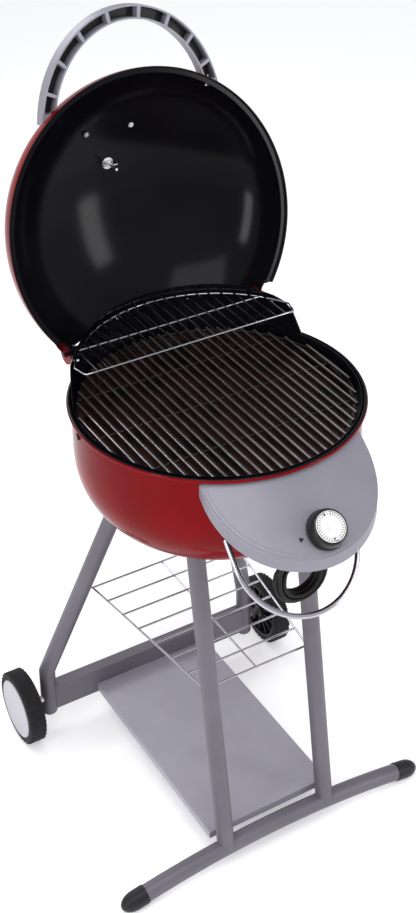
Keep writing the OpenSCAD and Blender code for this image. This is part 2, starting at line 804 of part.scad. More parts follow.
// The right ear: a disc and, up to the shell around its opening, a collar that is open towards the back
module lid_ear() {
    reach = 50;
    far = 100;
    x0 = ear_x - reach;
    x1 = ear_x + ear_t;
    difference() {
        translate([x0, hinge_y, hinge_h]) rotate([0, 90, 0]) cylinder(r = ear_r, h = 2 * reach + ear_t);
        collar_cut(x0 - 1, ear_x);
        collar_cut(x1, x1 + reach + 1);
        intersection() {
            under_shell(-2 * sheet);
            translate([x0 - 1, hinge_y - far, 0]) cube([reach + 1, 2 * far, far]);
        }
        difference() {
            translate([x1, hinge_y - far, 0]) cube([reach + 1, 2 * far, far]);
            under_shell(sheet / 2);
        }
        translate([x0 - 2, hinge_y, hinge_h]) rotate([0, 90, 0])
            cylinder(r = hinge_pin_d / 2 + run_gap, h = 2 * reach + ear_t + 4);
    }
}

// Holes in the closed lid for the thermometer, the badge and the handle
module lid_holes() {
    on_dome(thermo_y) cylinder(r = stud_d / 2, h = 60, center = true);
    both_sides() on_stud() cylinder(r = stud_d / 2, h = 60, center = true);
    handle_bolts_core(bolt_r);
}

module lid_shell() {
    lip = 12;
    lip_z = 6;
    color([0.62, 0.05, 0.07]) open_lid() difference() {
        union() {
            difference() {
                dome_space(0);
                translate([0, 0, -0.01]) dome_space(sheet);
                translate([0, 0, -1]) cylinder(r = 400, h = 1 + lid_edge_h);
                lid_cut();
            }
            intersection() {
                dome_space(sheet / 2);
                translate([0, 0, lip_z]) rotate_extrude($fn = 96) translate([lid_r - lip, 0])
                    square([lip, sheet]);
                translate([-400, -400, 0]) cube([800, 460, 50]);
            }
        }
        lid_holes();
    }
}

module lid_ears() {
    color([0.62, 0.05, 0.07]) open_lid() both_sides() lid_ear();
}

function half_ellipse(a, b, n) = [for (i = [0:n]) let (s = 180 * i / n) [a * cos(s), -b * sin(s)]];

// The handle's bow, its outline shrunk by t, between two heights in its own sloping frame
module handle_bow(t, z0, z1) {
    translate([0, handle_feet_y, handle_feet_h]) rotate([handle_drop, 0, 0]) translate([0, 0, z0 - handle_h])
        linear_extrude(height = z1 - z0) difference() {
            polygon(half_ellipse(handle_half_w - t, handle_reach - t, 40));
            polygon(concat([[handle_half_w - handle_bar + t, 30]],
                half_ellipse(handle_half_w - handle_bar + t, handle_reach - handle_bar + t, 40),
                [[-handle_half_w + handle_bar - t, 30]]));
        }
}

// Open cells in the underside of the bow, between its ribs
module handle_cells(z0, z1) {
    cells = 9;
    pitch = 180 / (cells + 1);
    rib = 2;
    intersection() {
        handle_bow(handle_wall, z0, z1);
        translate([0, handle_feet_y, -50]) for (i = [1:cells]) rotate([0, 0, -pitch * i])
            linear_extrude(height = 150) polygon([[0, 0], [400, 400 * tan(pitch / 2 - rib / 2)],
                [400, -400 * tan(pitch / 2 - rib / 2)]]);
        translate([-300, handle_solid_y - 400, -100]) cube([600, 400, 300]);
    }
}

// Bow-shaped handle whose solid feet stand on the shell
module lid_handle() {
    color([0.66, 0.65, 0.7]) open_lid() difference() {
        handle_bow(0, 0, handle_h);
        handle_cells(-1, handle_h - handle_wall);
        dome_space(0);
        translate([-300, handle_foot_y, -100]) cube([600, 300, 400]);
        handle_bolts_core(bolt_r);
    }
}

// Black strip at the bottom of the handle's cells
module handle_core() {
    color([0.05, 0.05, 0.05]) open_lid() difference() {
        handle_cells(handle_h - handle_wall - 2, handle_h - handle_wall);
        handle_bolts_core(bolt_r + 0.5);
    }
}

module handle_bolts_core(r) {
    both_sides() rod(handle_bolt[0], handle_bolt[1], r);
}

module handle_screws() {
    head_h = 2;
    run = handle_bolt[1] - handle_bolt[0];
    color([0.7, 0.7, 0.72]) open_lid() both_sides() translate(handle_bolt[0])
        rotate([0, 90, atan2(run[1], run[0])]) rotate_extrude()
            polygon([[0, 0], [2 * bolt_r, 0], [2 * bolt_r, head_h], [bolt_r, head_h], [bolt_r, norm(run)],
                [0, norm(run)]]);
}

module on_stud() {
    translate([badge_half, badge_y, dome_z(norm([badge_half, badge_y]), 0)]) rotate([dome_tilt(badge_y), 0, 0])
        children();
}

module thermometer_case() {
    color([0.8, 0.8, 0.82]) open_lid() difference() {
        union() {
            on_dome(thermo_y) difference() {
                translate([0, 0, -3]) cylinder(r = thermo_r, h = bezel_h + 3);
                translate([0, 0, bezel_h - 5]) cylinder(r = thermo_r - 3, h = 10);
            }
            on_dome(thermo_y) translate([0, 0, -38]) cylinder(r = stud_d / 2, h = 42);
        }
        intersection() {
            dome_space(0);
            difference() {
                translate([-60, -150, 0]) cube([120, 120, 200]);
                on_dome(thermo_y) translate([0, 0, -60]) cylinder(r = stud_d / 2, h = 70);
            }
        }
    }
}

module thermometer_dial() {
    color([0.93, 0.93, 0.92]) open_lid() on_dome(thermo_y) translate([0, 0, bezel_h - 5])
        cylinder(r = thermo_r - 3.1, h = 1.2);
}

module thermometer_needle() {
    color([0.75, 0.1, 0.08]) open_lid() on_dome(thermo_y) translate([0, 0, bezel_h - 3.8]) union() {
        cylinder(r = 3, h = 1.6, $fn = 24);
        rotate([0, 0, 130]) translate([0, -0.8, 0]) cube([thermo_r - 8, 1.6, 0.8]);
    }
}

// Wing nut with its washer on the thermometer's stem, inside the lid
module thermometer_nut() {
    color([0.75, 0.75, 0.76]) open_lid() difference() {
        on_dome(thermo_y) translate([0, 0, -sheet - 1.7]) union() {
            cylinder(r = 11, h = 1.2);
            translate([0, 0, -6]) cylinder(r = 5, h = 6.1);
            for (a = [0, 180]) rotate([0, 0, a]) translate([3, -1, -13]) cube([10, 2, 11]);
        }
        on_dome(thermo_y) cylinder(r = stud_d / 2, h = 90, center = true);
    }
}

// Plain plate on the lid's front with two studs and nuts
module badge_plate() {
    color([0.75, 0.75, 0.77]) open_lid() difference() {
        union() {
            both_sides() on_stud() translate([0, 0, -8]) cylinder(r = stud_d / 2, h = 12);
            translate([0, badge_y, dome_z(badge_y, 0) - 2]) rotate([dome_tilt(badge_y), 0, 0])
                translate([-60, -14, 0]) cube([120, 28, 4.5]);
        }
        difference() {
            dome_space(0);
            both_sides() on_stud() cylinder(r = stud_d / 2, h = 60, center = true);
        }
    }
}

module badge_nuts() {
    color([0.75, 0.75, 0.76]) open_lid() both_sides() on_stud() translate([0, 0, -sheet - 5.2]) difference() {
        cylinder(r = 5.5, h = 4, $fn = 6);
        translate([0, 0, -1]) cylinder(r = stud_d / 2, h = 10);
    }
}

// ---- control panel ----

function ring_points(a, b, n) = [for (i = [0:n - 1]) [a * cos(360 * i / n), b * sin(360 * i / n)]];
function face_at(r) = face_z - (r - face_r) * tan(panel_slope);

// The room between two cones parallel to the panel's face, at two distances below it
module face_band(d0, d1) {
    k = 1 / cos(panel_slope);
    rotate_extrude($fn = 96) polygon([[150, face_at(150) - d0 * k], [400, face_at(400) - d0 * k],
        [400, face_at(400) - d1 * k], [150, face_at(150) - d1 * k]]);
}

// The panel's plan, shrunk by t
module panel_prism(t) {
    translate([0, panel_y, 600]) linear_extrude(height = 400)
        polygon(ring_points(panel_half_w - t, panel_b - t, panel_n));
}

module at_knob() {
    translate([0, -face_r, face_z]) rotate([panel_slope, 0, 0]) children();
}

module control_panel() {
    skirt = skirt_h * cos(panel_slope);
    color([0.66, 0.64, 0.69]) difference() {
        union() {
            intersection() {
                panel_prism(0);
                face_band(edge_bevel * 0.4, skirt);
            }
            intersection() {
                panel_prism(edge_bevel * 0.35);
                face_band(edge_bevel * 0.12, skirt);
            }
            intersection() {
                panel_prism(edge_bevel);
                face_band(0, skirt);
            }
        }
        difference() {
            intersection() {
                panel_prism(edge_bevel + panel_wall);
                face_band(panel_wall, skirt + 60);
            }
            cylinder(r = bowl_r + panel_wall, h = 2000, $fn = 96);
        }
        difference() {
            intersection() {
                panel_prism(panel_wall);
                face_band(edge_bevel * 0.4 + panel_wall, skirt + 60);
            }
            cylinder(r = bowl_r + panel_wall, h = 2000, $fn = 96);
        }
        cylinder(r = bowl_r, h = 2000, $fn = 96);
        panel_screw_shanks();
        at_knob() cylinder(r = shaft_d / 2 + run_gap, h = 40, center = true);
    }
}

// Shanks of the screws through the bowl's wall into the panel's flange and the control box
module panel_screw_shanks() {
    for (a = [-90 - flange_turn, -90 + flange_turn]) rotate([0, 0, a]) translate([wall_in - 4, 0, flange_z])
        rotate([0, 90, 0]) cylinder(r = 2, h = bowl_r + panel_wall - wall_in + 4);
    both_sides() rod([box_half_w - 14, -bowl_r + 18, box_z + 30], [box_half_w - 14, -bowl_r - 8, box_z + 30], 2);
}

module panel_screws() {
    color([0.75, 0.75, 0.77]) union() {
        panel_screw_shanks();
        for (a = [-90 - flange_turn, -90 + flange_turn]) rotate([0, 0, a]) intersection() {
            translate([wall_in - 4, 0, flange_z]) rotate([0, 90, 0]) cylinder(r = 4, h = 5);
            rotate([0, 0, -a]) cylinder(r = wall_in, h = 2000, $fn = 96);
        }
        both_sides() intersection() {
            rod([box_half_w - 14, -bowl_r + 18, box_z + 30], [box_half_w - 14, -bowl_r, box_z + 30], 4);
            bowl_space(sheet, rim_z);
        }
    }
}

// Black box under the panel that takes the element's ends and the cord
module control_box() {
    color([0.06, 0.06, 0.065]) difference() {
        translate([-box_half_w, box_front_y, box_z]) cube([2 * box_half_w, 120, box_h]);
        difference() {
            translate([-box_half_w + box_wall, box_front_y + box_wall, box_z + box_wall])
                cube([2 * (box_half_w - box_wall), 120, box_h - 2 * box_wall]);
            bowl_space(-box_wall, rim_z);
        }
        bowl_space(0, rim_z);
        element_core(element_rod / 2);
        panel_screw_shanks();
    }
}

// Thermostat under the panel's face; the knob's shaft turns in it
module thermostat() {
    color([0.5, 0.48, 0.42]) difference() {
        at_knob() translate([-stat_half, -stat_half, -panel_wall - stat_depth])
            cube([2 * stat_half, 2 * stat_half, stat_depth + 2]);
        face_band(-20, panel_wall);
        at_knob() translate([0, 0, -panel_wall - 12]) cylinder(r = shaft_d / 2 + run_gap, h = 40);
    }
}

// Knob with its shaft
module knob_body() {
    r = knob_d / 2;
    color([0.07, 0.07, 0.08]) at_knob() union() {
        translate([0, 0, -panel_wall - 10]) cylinder(d = shaft_d, h = panel_wall + 12);
        translate([0, 0, knob_clear]) rotate_extrude($fn = 64) polygon(concat(
            [[0, 0], [r - 1, 0], [r, 1.5], [r, 5]],
            [for (i = [0:5]) [r - 1 - 5 * (1 - cos(18 * i)), 5 + (knob_h - 6) * sin(18 * i)]],
            [[knob_face_d / 2, knob_h - 1], [knob_face_d / 2, knob_h - 1.8], [0, knob_h - 1.8]]));
    }
}

// Silver disc in the knob's top with its raised pointer bar
module knob_face() {
    color([0.72, 0.72, 0.74]) at_knob() translate([0, 0, knob_clear + knob_h - 1.8]) union() {
        cylinder(d = knob_face_d, h = 1.4, $fn = 64);
        translate([-4, -knob_face_d / 2 + 2, 0]) cube([8, knob_face_d - 4, 6]);
    }
}

// Raised pointer triangle on the panel at the left of the knob
module panel_marks() {
    mark_in = knob_d / 2 + 5;
    color([0.12, 0.12, 0.13]) intersection() {
        face_band(-0.4, 0);
        at_knob() translate([0, 0, -20]) linear_extrude(height = 40)
            polygon([[-mark_in - 8, 4], [-mark_in - 8, -4], [-mark_in, 0]]);
    }
}

// Towel ring: a half hoop in a sloping plane whose ends pass into the bowl
module at_ring() {
    translate([0, ring_y, ring_z]) rotate([90 - ring_tilt, 0, 0]) children();
}

module ring_ends(r, from, to) {
    at_ring() both_sides() translate([ring_half_w, from, 0]) rotate([-90, 0, 0]) cylinder(r = r, h = to - from);
}

module towel_ring() {
    color([0.85, 0.85, 0.87]) union() {
        at_ring() rotate([0, 0, 180]) rotate_extrude(angle = 180, $fn = 96) translate([ring_half_w, 0])
            circle(d = ring_tube_d, $fn = 24);
        ring_ends(ring_tube_d / 2, 0, ring_leg);
    }
}

module ring_nuts() {
    color([0.75, 0.75, 0.77]) difference() {
        ring_ends(ring_tube_d * 0.9, ring_leg - 7, ring_leg - 2);
        ring_ends(ring_tube_d / 2, 0, ring_leg + 10);
    }
}

// ---- cord ----

// Upturned peg on the bowl that the coil of cord hangs on
module cord_hook() {
    z = coil_c[2] + coil_in_r - hook_r - 0.1;
    tip_y = coil_c[1] - coil_w / 2 - 5;
    color([0.7, 0.7, 0.72]) difference() {
        union() {
            rod([coil_c[0], -180, z], [coil_c[0], tip_y, z], hook_r);
            rod([coil_c[0], tip_y, z - hook_r], [coil_c[0], tip_y, z + 8], hook_r);
        }
        bowl_space(0, rim_z);
    }
}

// Tapered strain relief under the control box
module strain_relief() {
    color([0.05, 0.05, 0.05]) translate([relief_at[0], relief_at[1], box_z - relief_len]) difference() {
        rotate_extrude() polygon([[0, 0], [cord_r + 1.2, 0], [cord_r + 3.5, relief_len - 4],
            [cord_r + 6, relief_len - 4], [cord_r + 6, relief_len], [0, relief_len]]);
    }
}

// Rings of a tube swept along a route
function route_dir(p, i) = let (a = p[max(0, i - 1)], b = p[min(len(p) - 1, i + 1)]) (b - a) / norm(b - a);
function tube_ring(c, d, r, n) = let (u = cross(d, [0, 1, 0]) / norm(cross(d, [0, 1, 0])), w = cross(d, u))
    [for (k = [0:n - 1]) c + r * (u * cos(360 * k / n) + w * sin(360 * k / n))];

module swept_tube(p, r, n) {
    m = len(p);
    polyhedron(points = [for (i = [0:m - 1]) each tube_ring(p[i], route_dir(p, i), r, n)],
        faces = concat([[for (k = [0:n - 1]) n - 1 - k]],
            [for (i = [0:m - 2]) for (k = [0:n - 1]) let (q = (k + 1) % n)
                [i * n + k, i * n + q, (i + 1) * n + q, (i + 1) * n + k]],
            [[for (k = [0:n - 1]) (m - 1) * n + k]]), convexity = 4);
}

module cord_tube() {
    color([0.04, 0.04, 0.04]) {
        swept_tube(lead_in, cord_r, 10);
        swept_tube(tail, cord_r, 10);
    }
}

module cord_coil() {
    color([0.04, 0.04, 0.04]) translate(coil_c) rotate([90, 0, 0]) rotate_extrude()
        translate([coil_in_r, -coil_w / 2]) square([coil_out_r - coil_in_r, coil_w]);
}

module at_plug() {
    translate(plug_at) rotate([0, -90, 0]) children();
}

// Moulded plug: a round neck, a wider body and its flat front
module plug_body() {
    color([0.04, 0.04, 0.04]) at_plug() rotate_extrude() polygon([[0, 0], [cord_r + 1.2, 0], [cord_r + 2.5, 12],
        [plug_r - 2, 18], [plug_r, 22], [plug_r, 34], [plug_r - 2, 36], [0, 36]]);
}

module plug_blades() {
    color([0.8, 0.75, 0.5]) at_plug() {
        for (y = [-6.35, 6.35]) translate([-3.2, y - 0.75, 36]) cube([6.4, 1.5, 17]);
        translate([-7.5, 0, 36]) cylinder(d = 4.8, h = 20);
    }
}

foot_bar();
foot_caps();
front_leg_left();
front_leg_right();
rear_leg_left();
rear_leg_right();
rear_leg_plugs();
rear_crossbar();
leg_top_plugs();
leg_bolts();
lower_shelf();
shelf_screws();
wire_shelf();
axle_bolt_left();
axle_bolt_right();
wheel_hub_left();
tire_left();
hub_cap_left();
wheel_hub_right();
tire_right();
hub_cap_right();
bowl();
rear_wall();
wall_screws();
emitter_plate();
heat_element();
element_posts();
reflector_pan();
cooking_grate();
warming_rack();
rack_pegs();
hinge_bosses();
hinge_pins();
hinge_washers();
lid_shell();
lid_ears();
lid_handle();
handle_core();
handle_screws();
thermometer_case();
thermometer_dial();
thermometer_needle();
thermometer_nut();
badge_plate();
badge_nuts();
control_panel();
panel_screws();
control_box();
thermostat();
knob_body();
knob_face();
panel_marks();
towel_ring();
ring_nuts();
cord_hook();
strain_relief();
cord_tube();
cord_coil();
plug_body();
plug_blades();
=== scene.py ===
"""Finishes, fine shapes, light and camera for an electric kettle grill on a two-wheeled cart."""

import json
import logging
import math
from collections.abc import Sequence
from dataclasses import dataclass
from enum import Enum
from typing import Any

import bmesh
import bpy
from mathutils import Matrix, Vector

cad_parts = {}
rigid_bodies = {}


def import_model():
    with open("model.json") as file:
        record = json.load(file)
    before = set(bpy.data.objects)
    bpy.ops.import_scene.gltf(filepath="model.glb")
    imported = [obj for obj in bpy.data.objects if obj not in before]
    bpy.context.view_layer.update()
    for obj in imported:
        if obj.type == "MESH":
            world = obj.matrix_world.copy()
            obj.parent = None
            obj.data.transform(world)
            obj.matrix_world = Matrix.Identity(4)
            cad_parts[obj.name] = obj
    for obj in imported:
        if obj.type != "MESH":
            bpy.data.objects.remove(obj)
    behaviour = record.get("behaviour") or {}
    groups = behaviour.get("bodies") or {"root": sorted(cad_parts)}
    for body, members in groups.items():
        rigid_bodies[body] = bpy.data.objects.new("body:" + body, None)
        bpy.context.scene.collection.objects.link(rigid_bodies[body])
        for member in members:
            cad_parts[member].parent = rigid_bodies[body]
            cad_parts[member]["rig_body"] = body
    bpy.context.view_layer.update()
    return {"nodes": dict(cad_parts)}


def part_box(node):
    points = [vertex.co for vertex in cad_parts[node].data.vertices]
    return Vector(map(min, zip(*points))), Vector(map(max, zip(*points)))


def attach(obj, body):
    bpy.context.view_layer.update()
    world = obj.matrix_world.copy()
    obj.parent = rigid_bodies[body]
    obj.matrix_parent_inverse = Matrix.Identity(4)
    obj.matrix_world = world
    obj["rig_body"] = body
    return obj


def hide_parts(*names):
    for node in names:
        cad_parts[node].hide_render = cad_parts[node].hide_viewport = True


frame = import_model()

log = logging.getLogger("grill")

Point = Sequence[float]
Colour = tuple[float, float, float]

RIM_Z = 0.874
CURVE_Z = 0.800
HINGE = Vector((0.0, 0.190, 0.911))
OPEN_ANGLE = math.radians(-104.5)


class Side(Enum):
    """The cart's two sides, with the sign of X on each."""

    LEFT = -1
    RIGHT = 1


# ---- node graphs ----


class Sock:
    """An output socket that takes part in arithmetic, each operation adding one Math node."""

    def __init__(self, graph: "Graph", socket: bpy.types.NodeSocket) -> None:
        """Keeps the socket and the graph that it belongs to."""
        self.graph = graph
        self.socket = socket

    def math(self, operation: str, first: Any, second: Any = 0.0) -> "Sock":
        """Adds a Math node.

        Args:
            operation: the Math node's operation.
            first: its first value or link.
            second: its second value or link.

        Returns:
            The node's output.
        """
        return self.graph.node("ShaderNodeMath", {"operation": operation}, {0: first, 1: second})

    def __add__(self, other: Any) -> "Sock":
        """Sum of the two."""
        return self.math("ADD", self, other)

    def __radd__(self, other: Any) -> "Sock":
        """Sum of the two, this one second."""
        return self.math("ADD", other, self)

    def __sub__(self, other: Any) -> "Sock":
        """Difference of the two."""
        return self.math("SUBTRACT", self, other)

    def __rsub__(self, other: Any) -> "Sock":
        """Difference of the two, this one second."""
        return self.math("SUBTRACT", other, self)

    def __mul__(self, other: Any) -> "Sock":
        """Product of the two."""
        return self.math("MULTIPLY", self, other)

    def __rmul__(self, other: Any) -> "Sock":
        """Product of the two, this one second."""
        return self.math("MULTIPLY", other, self)

    def __truediv__(self, other: Any) -> "Sock":
        """Quotient of the two."""
        return self.math("DIVIDE", self, other)

    def __rtruediv__(self, other: Any) -> "Sock":
        """Quotient of the two, this one below."""
        return self.math("DIVIDE", other, self)

    def __pow__(self, other: Any) -> "Sock":
        """This one to a power."""
        return self.math("POWER", self, other)

    def __gt__(self, other: Any) -> "Sock":
        """One where this is greater, else nought."""
        return self.math("GREATER_THAN", self, other)

    def root(self) -> "Sock":
        """Square root."""
        return self.math("SQRT", self)

    def within(self, low: float, high: float) -> "Sock":
        """A ramp that is nought at low, one at high and stays between them.

        Args:
            low: the value that gives nought.
            high: the value that gives one.

        Returns:
            The ramp's value.
        """
        values = {0: self, 1: low, 2: high, 3: 0.0, 4: 1.0}
        return self.graph.node("ShaderNodeMapRange", {"interpolation_type": "SMOOTHSTEP"}, values)


class Graph:
    """A node tree and the one way in which nodes are added to it."""

    def __init__(self, tree: bpy.types.NodeTree) -> None:
        """Wraps a tree."""
        self.tree = tree

    def node(
        self,
        kind: str,
        settings: dict[str, Any] | None = None,
        values: dict[int | str, Any] | None = None,
        out: int | str = 0,
    ) -> Sock:
        """Adds a node.

        Args:
            kind: the node's type.
            settings: its own properties, set first; "stops" are a colour ramp's stops.
            values: values or links of its inputs, by name or number.
            out: the output that is returned.

        Returns:
            The chosen output.
        """
        node = self.tree.nodes.new(kind)
        for key, value in (settings or {}).items():
            if key == "stops":
                ramp = node.color_ramp
                for stop, (place, colour) in enumerate(value):
                    element = ramp.elements[stop] if stop < 2 else ramp.elements.new(place)
                    element.position = place
                    element.color = (*colour, 1.0)
            else:
                setattr(node, key, value)
        for key, value in (values or {}).items():
            if isinstance(value, Sock):
                self.tree.links.new(value.socket, node.inputs[key])
            else:
                node.inputs[key].default_value = value
        return Sock(self, node.outputs[out])


class Paint(Graph):
    """A material's graph, with the few patterns that the finishes share."""

    def __init__(self, name: str) -> None:
        """Starts an empty material of that name."""
        self.material = bpy.data.materials.new(name)
        self.material.use_nodes = True
        super().__init__(self.material.node_tree)
        self.tree.nodes.clear()
        self.place = self.node("ShaderNodeTexCoord", out="Object")

    def axis(self, letter: str) -> Sock:
        """One coordinate of the place on the object, in metres."""
        return self.node("ShaderNodeSeparateXYZ", None, {0: self.place}, letter)

    def noise(
        self, scale: float, detail: float = 3.0, rough: float = 0.5, stretch: Point = (1, 1, 1)
    ) -> Sock:
        """Cloudy pattern from about nought to one.

        Args:
            scale: lumps to the metre.
            detail: octaves.
            rough: weight of the fine octaves.
            stretch: factors on the coordinates.

        Returns:
            The pattern's value.
        """
        where = self.node("ShaderNodeMapping", None, {"Vector": self.place, "Scale": tuple(stretch)})
        values = {"Vector": where, "Scale": scale, "Detail": detail, "Roughness": rough}
        return self.node("ShaderNodeTexNoise", None, values)

    def mix(self, share: Any, first: Any, second: Any) -> Sock:
        """Blends two colours.

        Args:
            share: how much of the second.
            first: a colour or a link.
            second: a colour or a link.

        Returns:
            The blend.
        """
        ends = [(*c, 1.0) if isinstance(c, tuple) else c for c in (first, second)]
        values = {0: share, 6: ends[0], 7: ends[1]}
        return self.node("ShaderNodeMix", {"data_type": "RGBA"}, values, 2)

    def bump(self, height: Sock, distance: float, strength: float = 1.0) -> Sock:
        """Normal of a relief.

        Args:
            height: relief from nought to one.
            distance: its depth in metres.
            strength: its strength.

        Returns:
            The normal.
        """
        values = {"Height": height, "Distance": distance, "Strength": strength}
        return self.node("ShaderNodeBump", None, values)

    def done(self, **values: Any) -> bpy.types.Material:
        """Closes the material with one Principled shader.

        Args:
            **values: its inputs, by name with _ for a space.

        Returns:
            The material.
        """
        named = {key.replace("_", " "): value for key, value in values.items()}
        named = {"IOR" if key == "ior" else key: value for key, value in named.items()}
        shader = self.node("ShaderNodeBsdfPrincipled", None, named)
        self.node_end(shader)
        return self.material

    def node_end(self, shader: Sock) -> None:
        """Links a shader to the material's output."""
        end = self.tree.nodes.new("ShaderNodeOutputMaterial")
        self.tree.links.new(shader.socket, end.inputs["Surface"])


# ---- finishes ----


@dataclass(frozen=True)
class Enamel:
    """Glossy fired enamel with a faint orange peel and a cloudy shift between two close tones."""

    slot: str
    colour: Colour
    shade: Colour
    rough: float = 0.16
    peel: float = 0.00005
    coat: float = 0.04
    shine: float = 0.06

    def build(self) -> bpy.types.Material:
        """Builds the material."""
        paint = Paint(self.slot)
        cloud = paint.noise(5.0, 2.0)
        dust = paint.noise(160.0, 4.0, 0.65)
        colour = paint.mix(cloud.within(0.35, 0.7), self.colour, self.shade)
        relief = paint.bump(paint.noise(420.0, 1.0) * 0.6 + paint.noise(40.0, 1.0) * 0.4, self.peel)
        return paint.done(
            Base_Color=colour,
            Roughness=self.rough + dust.within(0.55, 0.8) * 0.08,
            Coat_Weight=self.coat,
            Coat_Roughness=0.05,
            Specular_IOR_Level=self.shine,
            Normal=relief,
        )


@dataclass(frozen=True)
class PowderCoat:
    """Satin powder coat: two close greys, a fine pebbled relief and slight rub marks."""

    slot: str
    colour: Colour
    shade: Colour
    rough: float = 0.42
    grain: float = 0.00006
    metal: float = 0.25

    def build(self) -> bpy.types.Material:
        """Builds the material."""
        paint = Paint(self.slot)
        patches = paint.noise(9.0, 3.0)
        speck = paint.noise(1500.0, 1.0)
        rubbed = paint.noise(30.0, 5.0, 0.7, (1.0, 1.0, 0.35)).within(0.58, 0.75)
        colour = paint.mix(patches.within(0.3, 0.7) * 0.8 + speck * 0.2, self.colour, self.shade)
        return paint.done(
            Base_Color=colour,
            Roughness=self.rough + speck * 0.08 - rubbed * 0.06,
            Metallic=self.metal,
            Normal=paint.bump(paint.noise(1100.0, 2.0), self.grain, 0.7),
        )


@dataclass(frozen=True)
class Plated:
    """Bright plated or rolled metal with fine drawing lines and dull spots."""

    slot: str
    colour: Colour
    shade: Colour
    rough: float = 0.12
    lines: float = 600.0
    spots: float = 0.15

    def build(self) -> bpy.types.Material:
        """Builds the material."""
        paint = Paint(self.slot)
        drawn = paint.noise(self.lines, 2.0, 0.5, (1.0, 0.08, 1.0))
        dull = paint.noise(55.0, 4.0, 0.6).within(0.5, 0.75)
        return paint.done(
            Base_Color=paint.mix(dull * 0.7, self.colour, self.shade),
            Metallic=1.0,
            Roughness=self.rough + dull * self.spots + drawn * 0.06,
            Normal=paint.bump(drawn, 0.00001, 0.5),
        )


@dataclass(frozen=True)
class Moulded:
    """Moulded plastic with a fine spark-eroded grain."""

    slot: str
    colour: Colour
    shade: Colour
    rough: float = 0.38
    grain: float = 0.00004
    coat: float = 0.0
    metal: float = 0.0
    shine: float = 0.3

    def build(self) -> bpy.types.Material:
        """Builds the material."""
        paint = Paint(self.slot)
        flow = paint.noise(7.0, 2.0).within(0.3, 0.7)
        grain = paint.noise(2200.0, 1.0)
        smear = paint.noise(28.0, 4.0, 0.6).within(0.52, 0.78)
        return paint.done(
            Base_Color=paint.mix(flow, self.colour, self.shade),
            Metallic=self.metal,
            Roughness=self.rough + grain * 0.06 + smear * 0.07,
            Coat_Weight=self.coat,
            Specular_IOR_Level=self.shine,
            Normal=paint.bump(grain, self.grain, 0.6),
        )


@dataclass(frozen=True)
class Rubber:
    """Matt rubber with a mould bloom in random patches and a fine grain."""

    slot: str
    colour: Colour
    bloom: Colour
    rough: float = 0.68

    def build(self) -> bpy.types.Material:
        """Builds the material."""
        paint = Paint(self.slot)
        dusty = paint.noise(70.0, 5.0, 0.7).within(0.45, 0.8)
        grain = paint.noise(1400.0, 2.0)
        return paint.done(
            Base_Color=paint.mix(dusty * 0.6, self.colour, self.bloom),
            Roughness=self.rough + grain * 0.15 - 0.05,
            Specular_IOR_Level=0.25,
            Normal=paint.bump(grain, 0.00012, 0.6),
        )


@dataclass(frozen=True)
class BakedPlate:
    """Dark red-brown baked coating of the emitter, warmer in streaks and burnt in patches."""

    slot: str
    colour: Colour
    burnt: Colour
    glow: Colour

    def build(self) -> bpy.types.Material:
        """Builds the material."""
        paint = Paint(self.slot)
        streak = paint.noise(60.0, 5.0, 0.65, (1.0, 0.12, 1.0))
        patch = paint.noise(16.0, 4.0, 0.6)
        fine = paint.noise(900.0, 3.0, 0.6)
        warm = paint.mix(streak.within(0.35, 0.75), self.colour, self.glow)
        return paint.done(
            Base_Color=paint.mix(patch.within(0.45, 0.7), warm, self.burnt),
            Roughness=0.34 + fine * 0.22,
            Metallic=0.15,
            Coat_Weight=0.2,
            Normal=paint.bump(fine * 0.5 + streak * 0.5, 0.00015, 0.7),
        )


@dataclass(frozen=True)
class HighlitRod:
    """Rods of the cooking grate: a painted highlight along the top of each rod and painted shade on its
    flanks, dimmed in places by random brown stains.
    """

    slot: str
    # crown is the painted highlight colour on the top of each rod; flank is the painted shade colour on its
    # sides.
    crown: Colour
    flank: Colour
    crown_z: float
    radius: float

    def build(self) -> bpy.types.Material:
        """Builds the material."""
        paint = Paint(self.slot)
        # Painted highlight and shade: the top of each rod is coloured lighter and its flanks darker, as light
        # from above falls on them; random brown stains dim the highlight in places.
        height = paint.axis("Z").within(self.crown_z - self.radius * 0.9, self.crown_z)
        stain = paint.noise(85.0, 5.0, 0.7, (1.0, 0.2, 1.0)).within(0.42, 0.68)
        highlight_less_stain = height * (1 - stain * 0.75)
        return paint.done(
            Base_Color=paint.mix(highlight_less_stain, self.flank, self.crown),
            Metallic=0.55 + highlight_less_stain * 0.4,
            Roughness=0.42 - highlight_less_stain * 0.2,
            Normal=paint.bump(paint.noise(500.0, 3.0), 0.00006, 0.6),
        )


@dataclass(frozen=True)
class Dial:
    """White printed dial with a ring of marks around its middle and a thin dark ring outside them."""

    slot: str
    centre: Point
    across: Point
    up: Point
    radius: float

    def build(self) -> bpy.types.Material:
        """Builds the material."""
        paint = Paint(self.slot)
        offset = paint.node(
            "ShaderNodeVectorMath", {"operation": "SUBTRACT"}, {0: paint.place, 1: tuple(self.centre)}
        )
        dot = {"operation": "DOT_PRODUCT"}
        part = [
            paint.node("ShaderNodeVectorMath", dot, {0: offset, 1: tuple(way)}, "Value")
            for way in (self.across, self.up)
        ]
        away = (part[0] * part[0] + part[1] * part[1]).root() / self.radius
        turn = part[0].math("ARCTAN2", part[1], part[0]) * (16 / math.pi)
        tooth = turn.math("PINGPONG", turn, 0.5)
        mark = (tooth.math("LESS_THAN", tooth, 0.12)) * away.within(0.68, 0.7) * (1 - away.within(0.86, 0.88))
        ring = away.within(0.9, 0.91) * (1 - away.within(0.94, 0.95))
        white = paint.mix(paint.noise(60.0).within(0.4, 0.7), (0.86, 0.86, 0.84), (0.78, 0.78, 0.75))
        colour = paint.mix(mark.math("MAXIMUM", mark, ring), white, (0.02, 0.02, 0.022))
        return paint.done(Base_Color=colour, Roughness=0.3 + paint.noise(300.0) * 0.1, Coat_Weight=0.5)


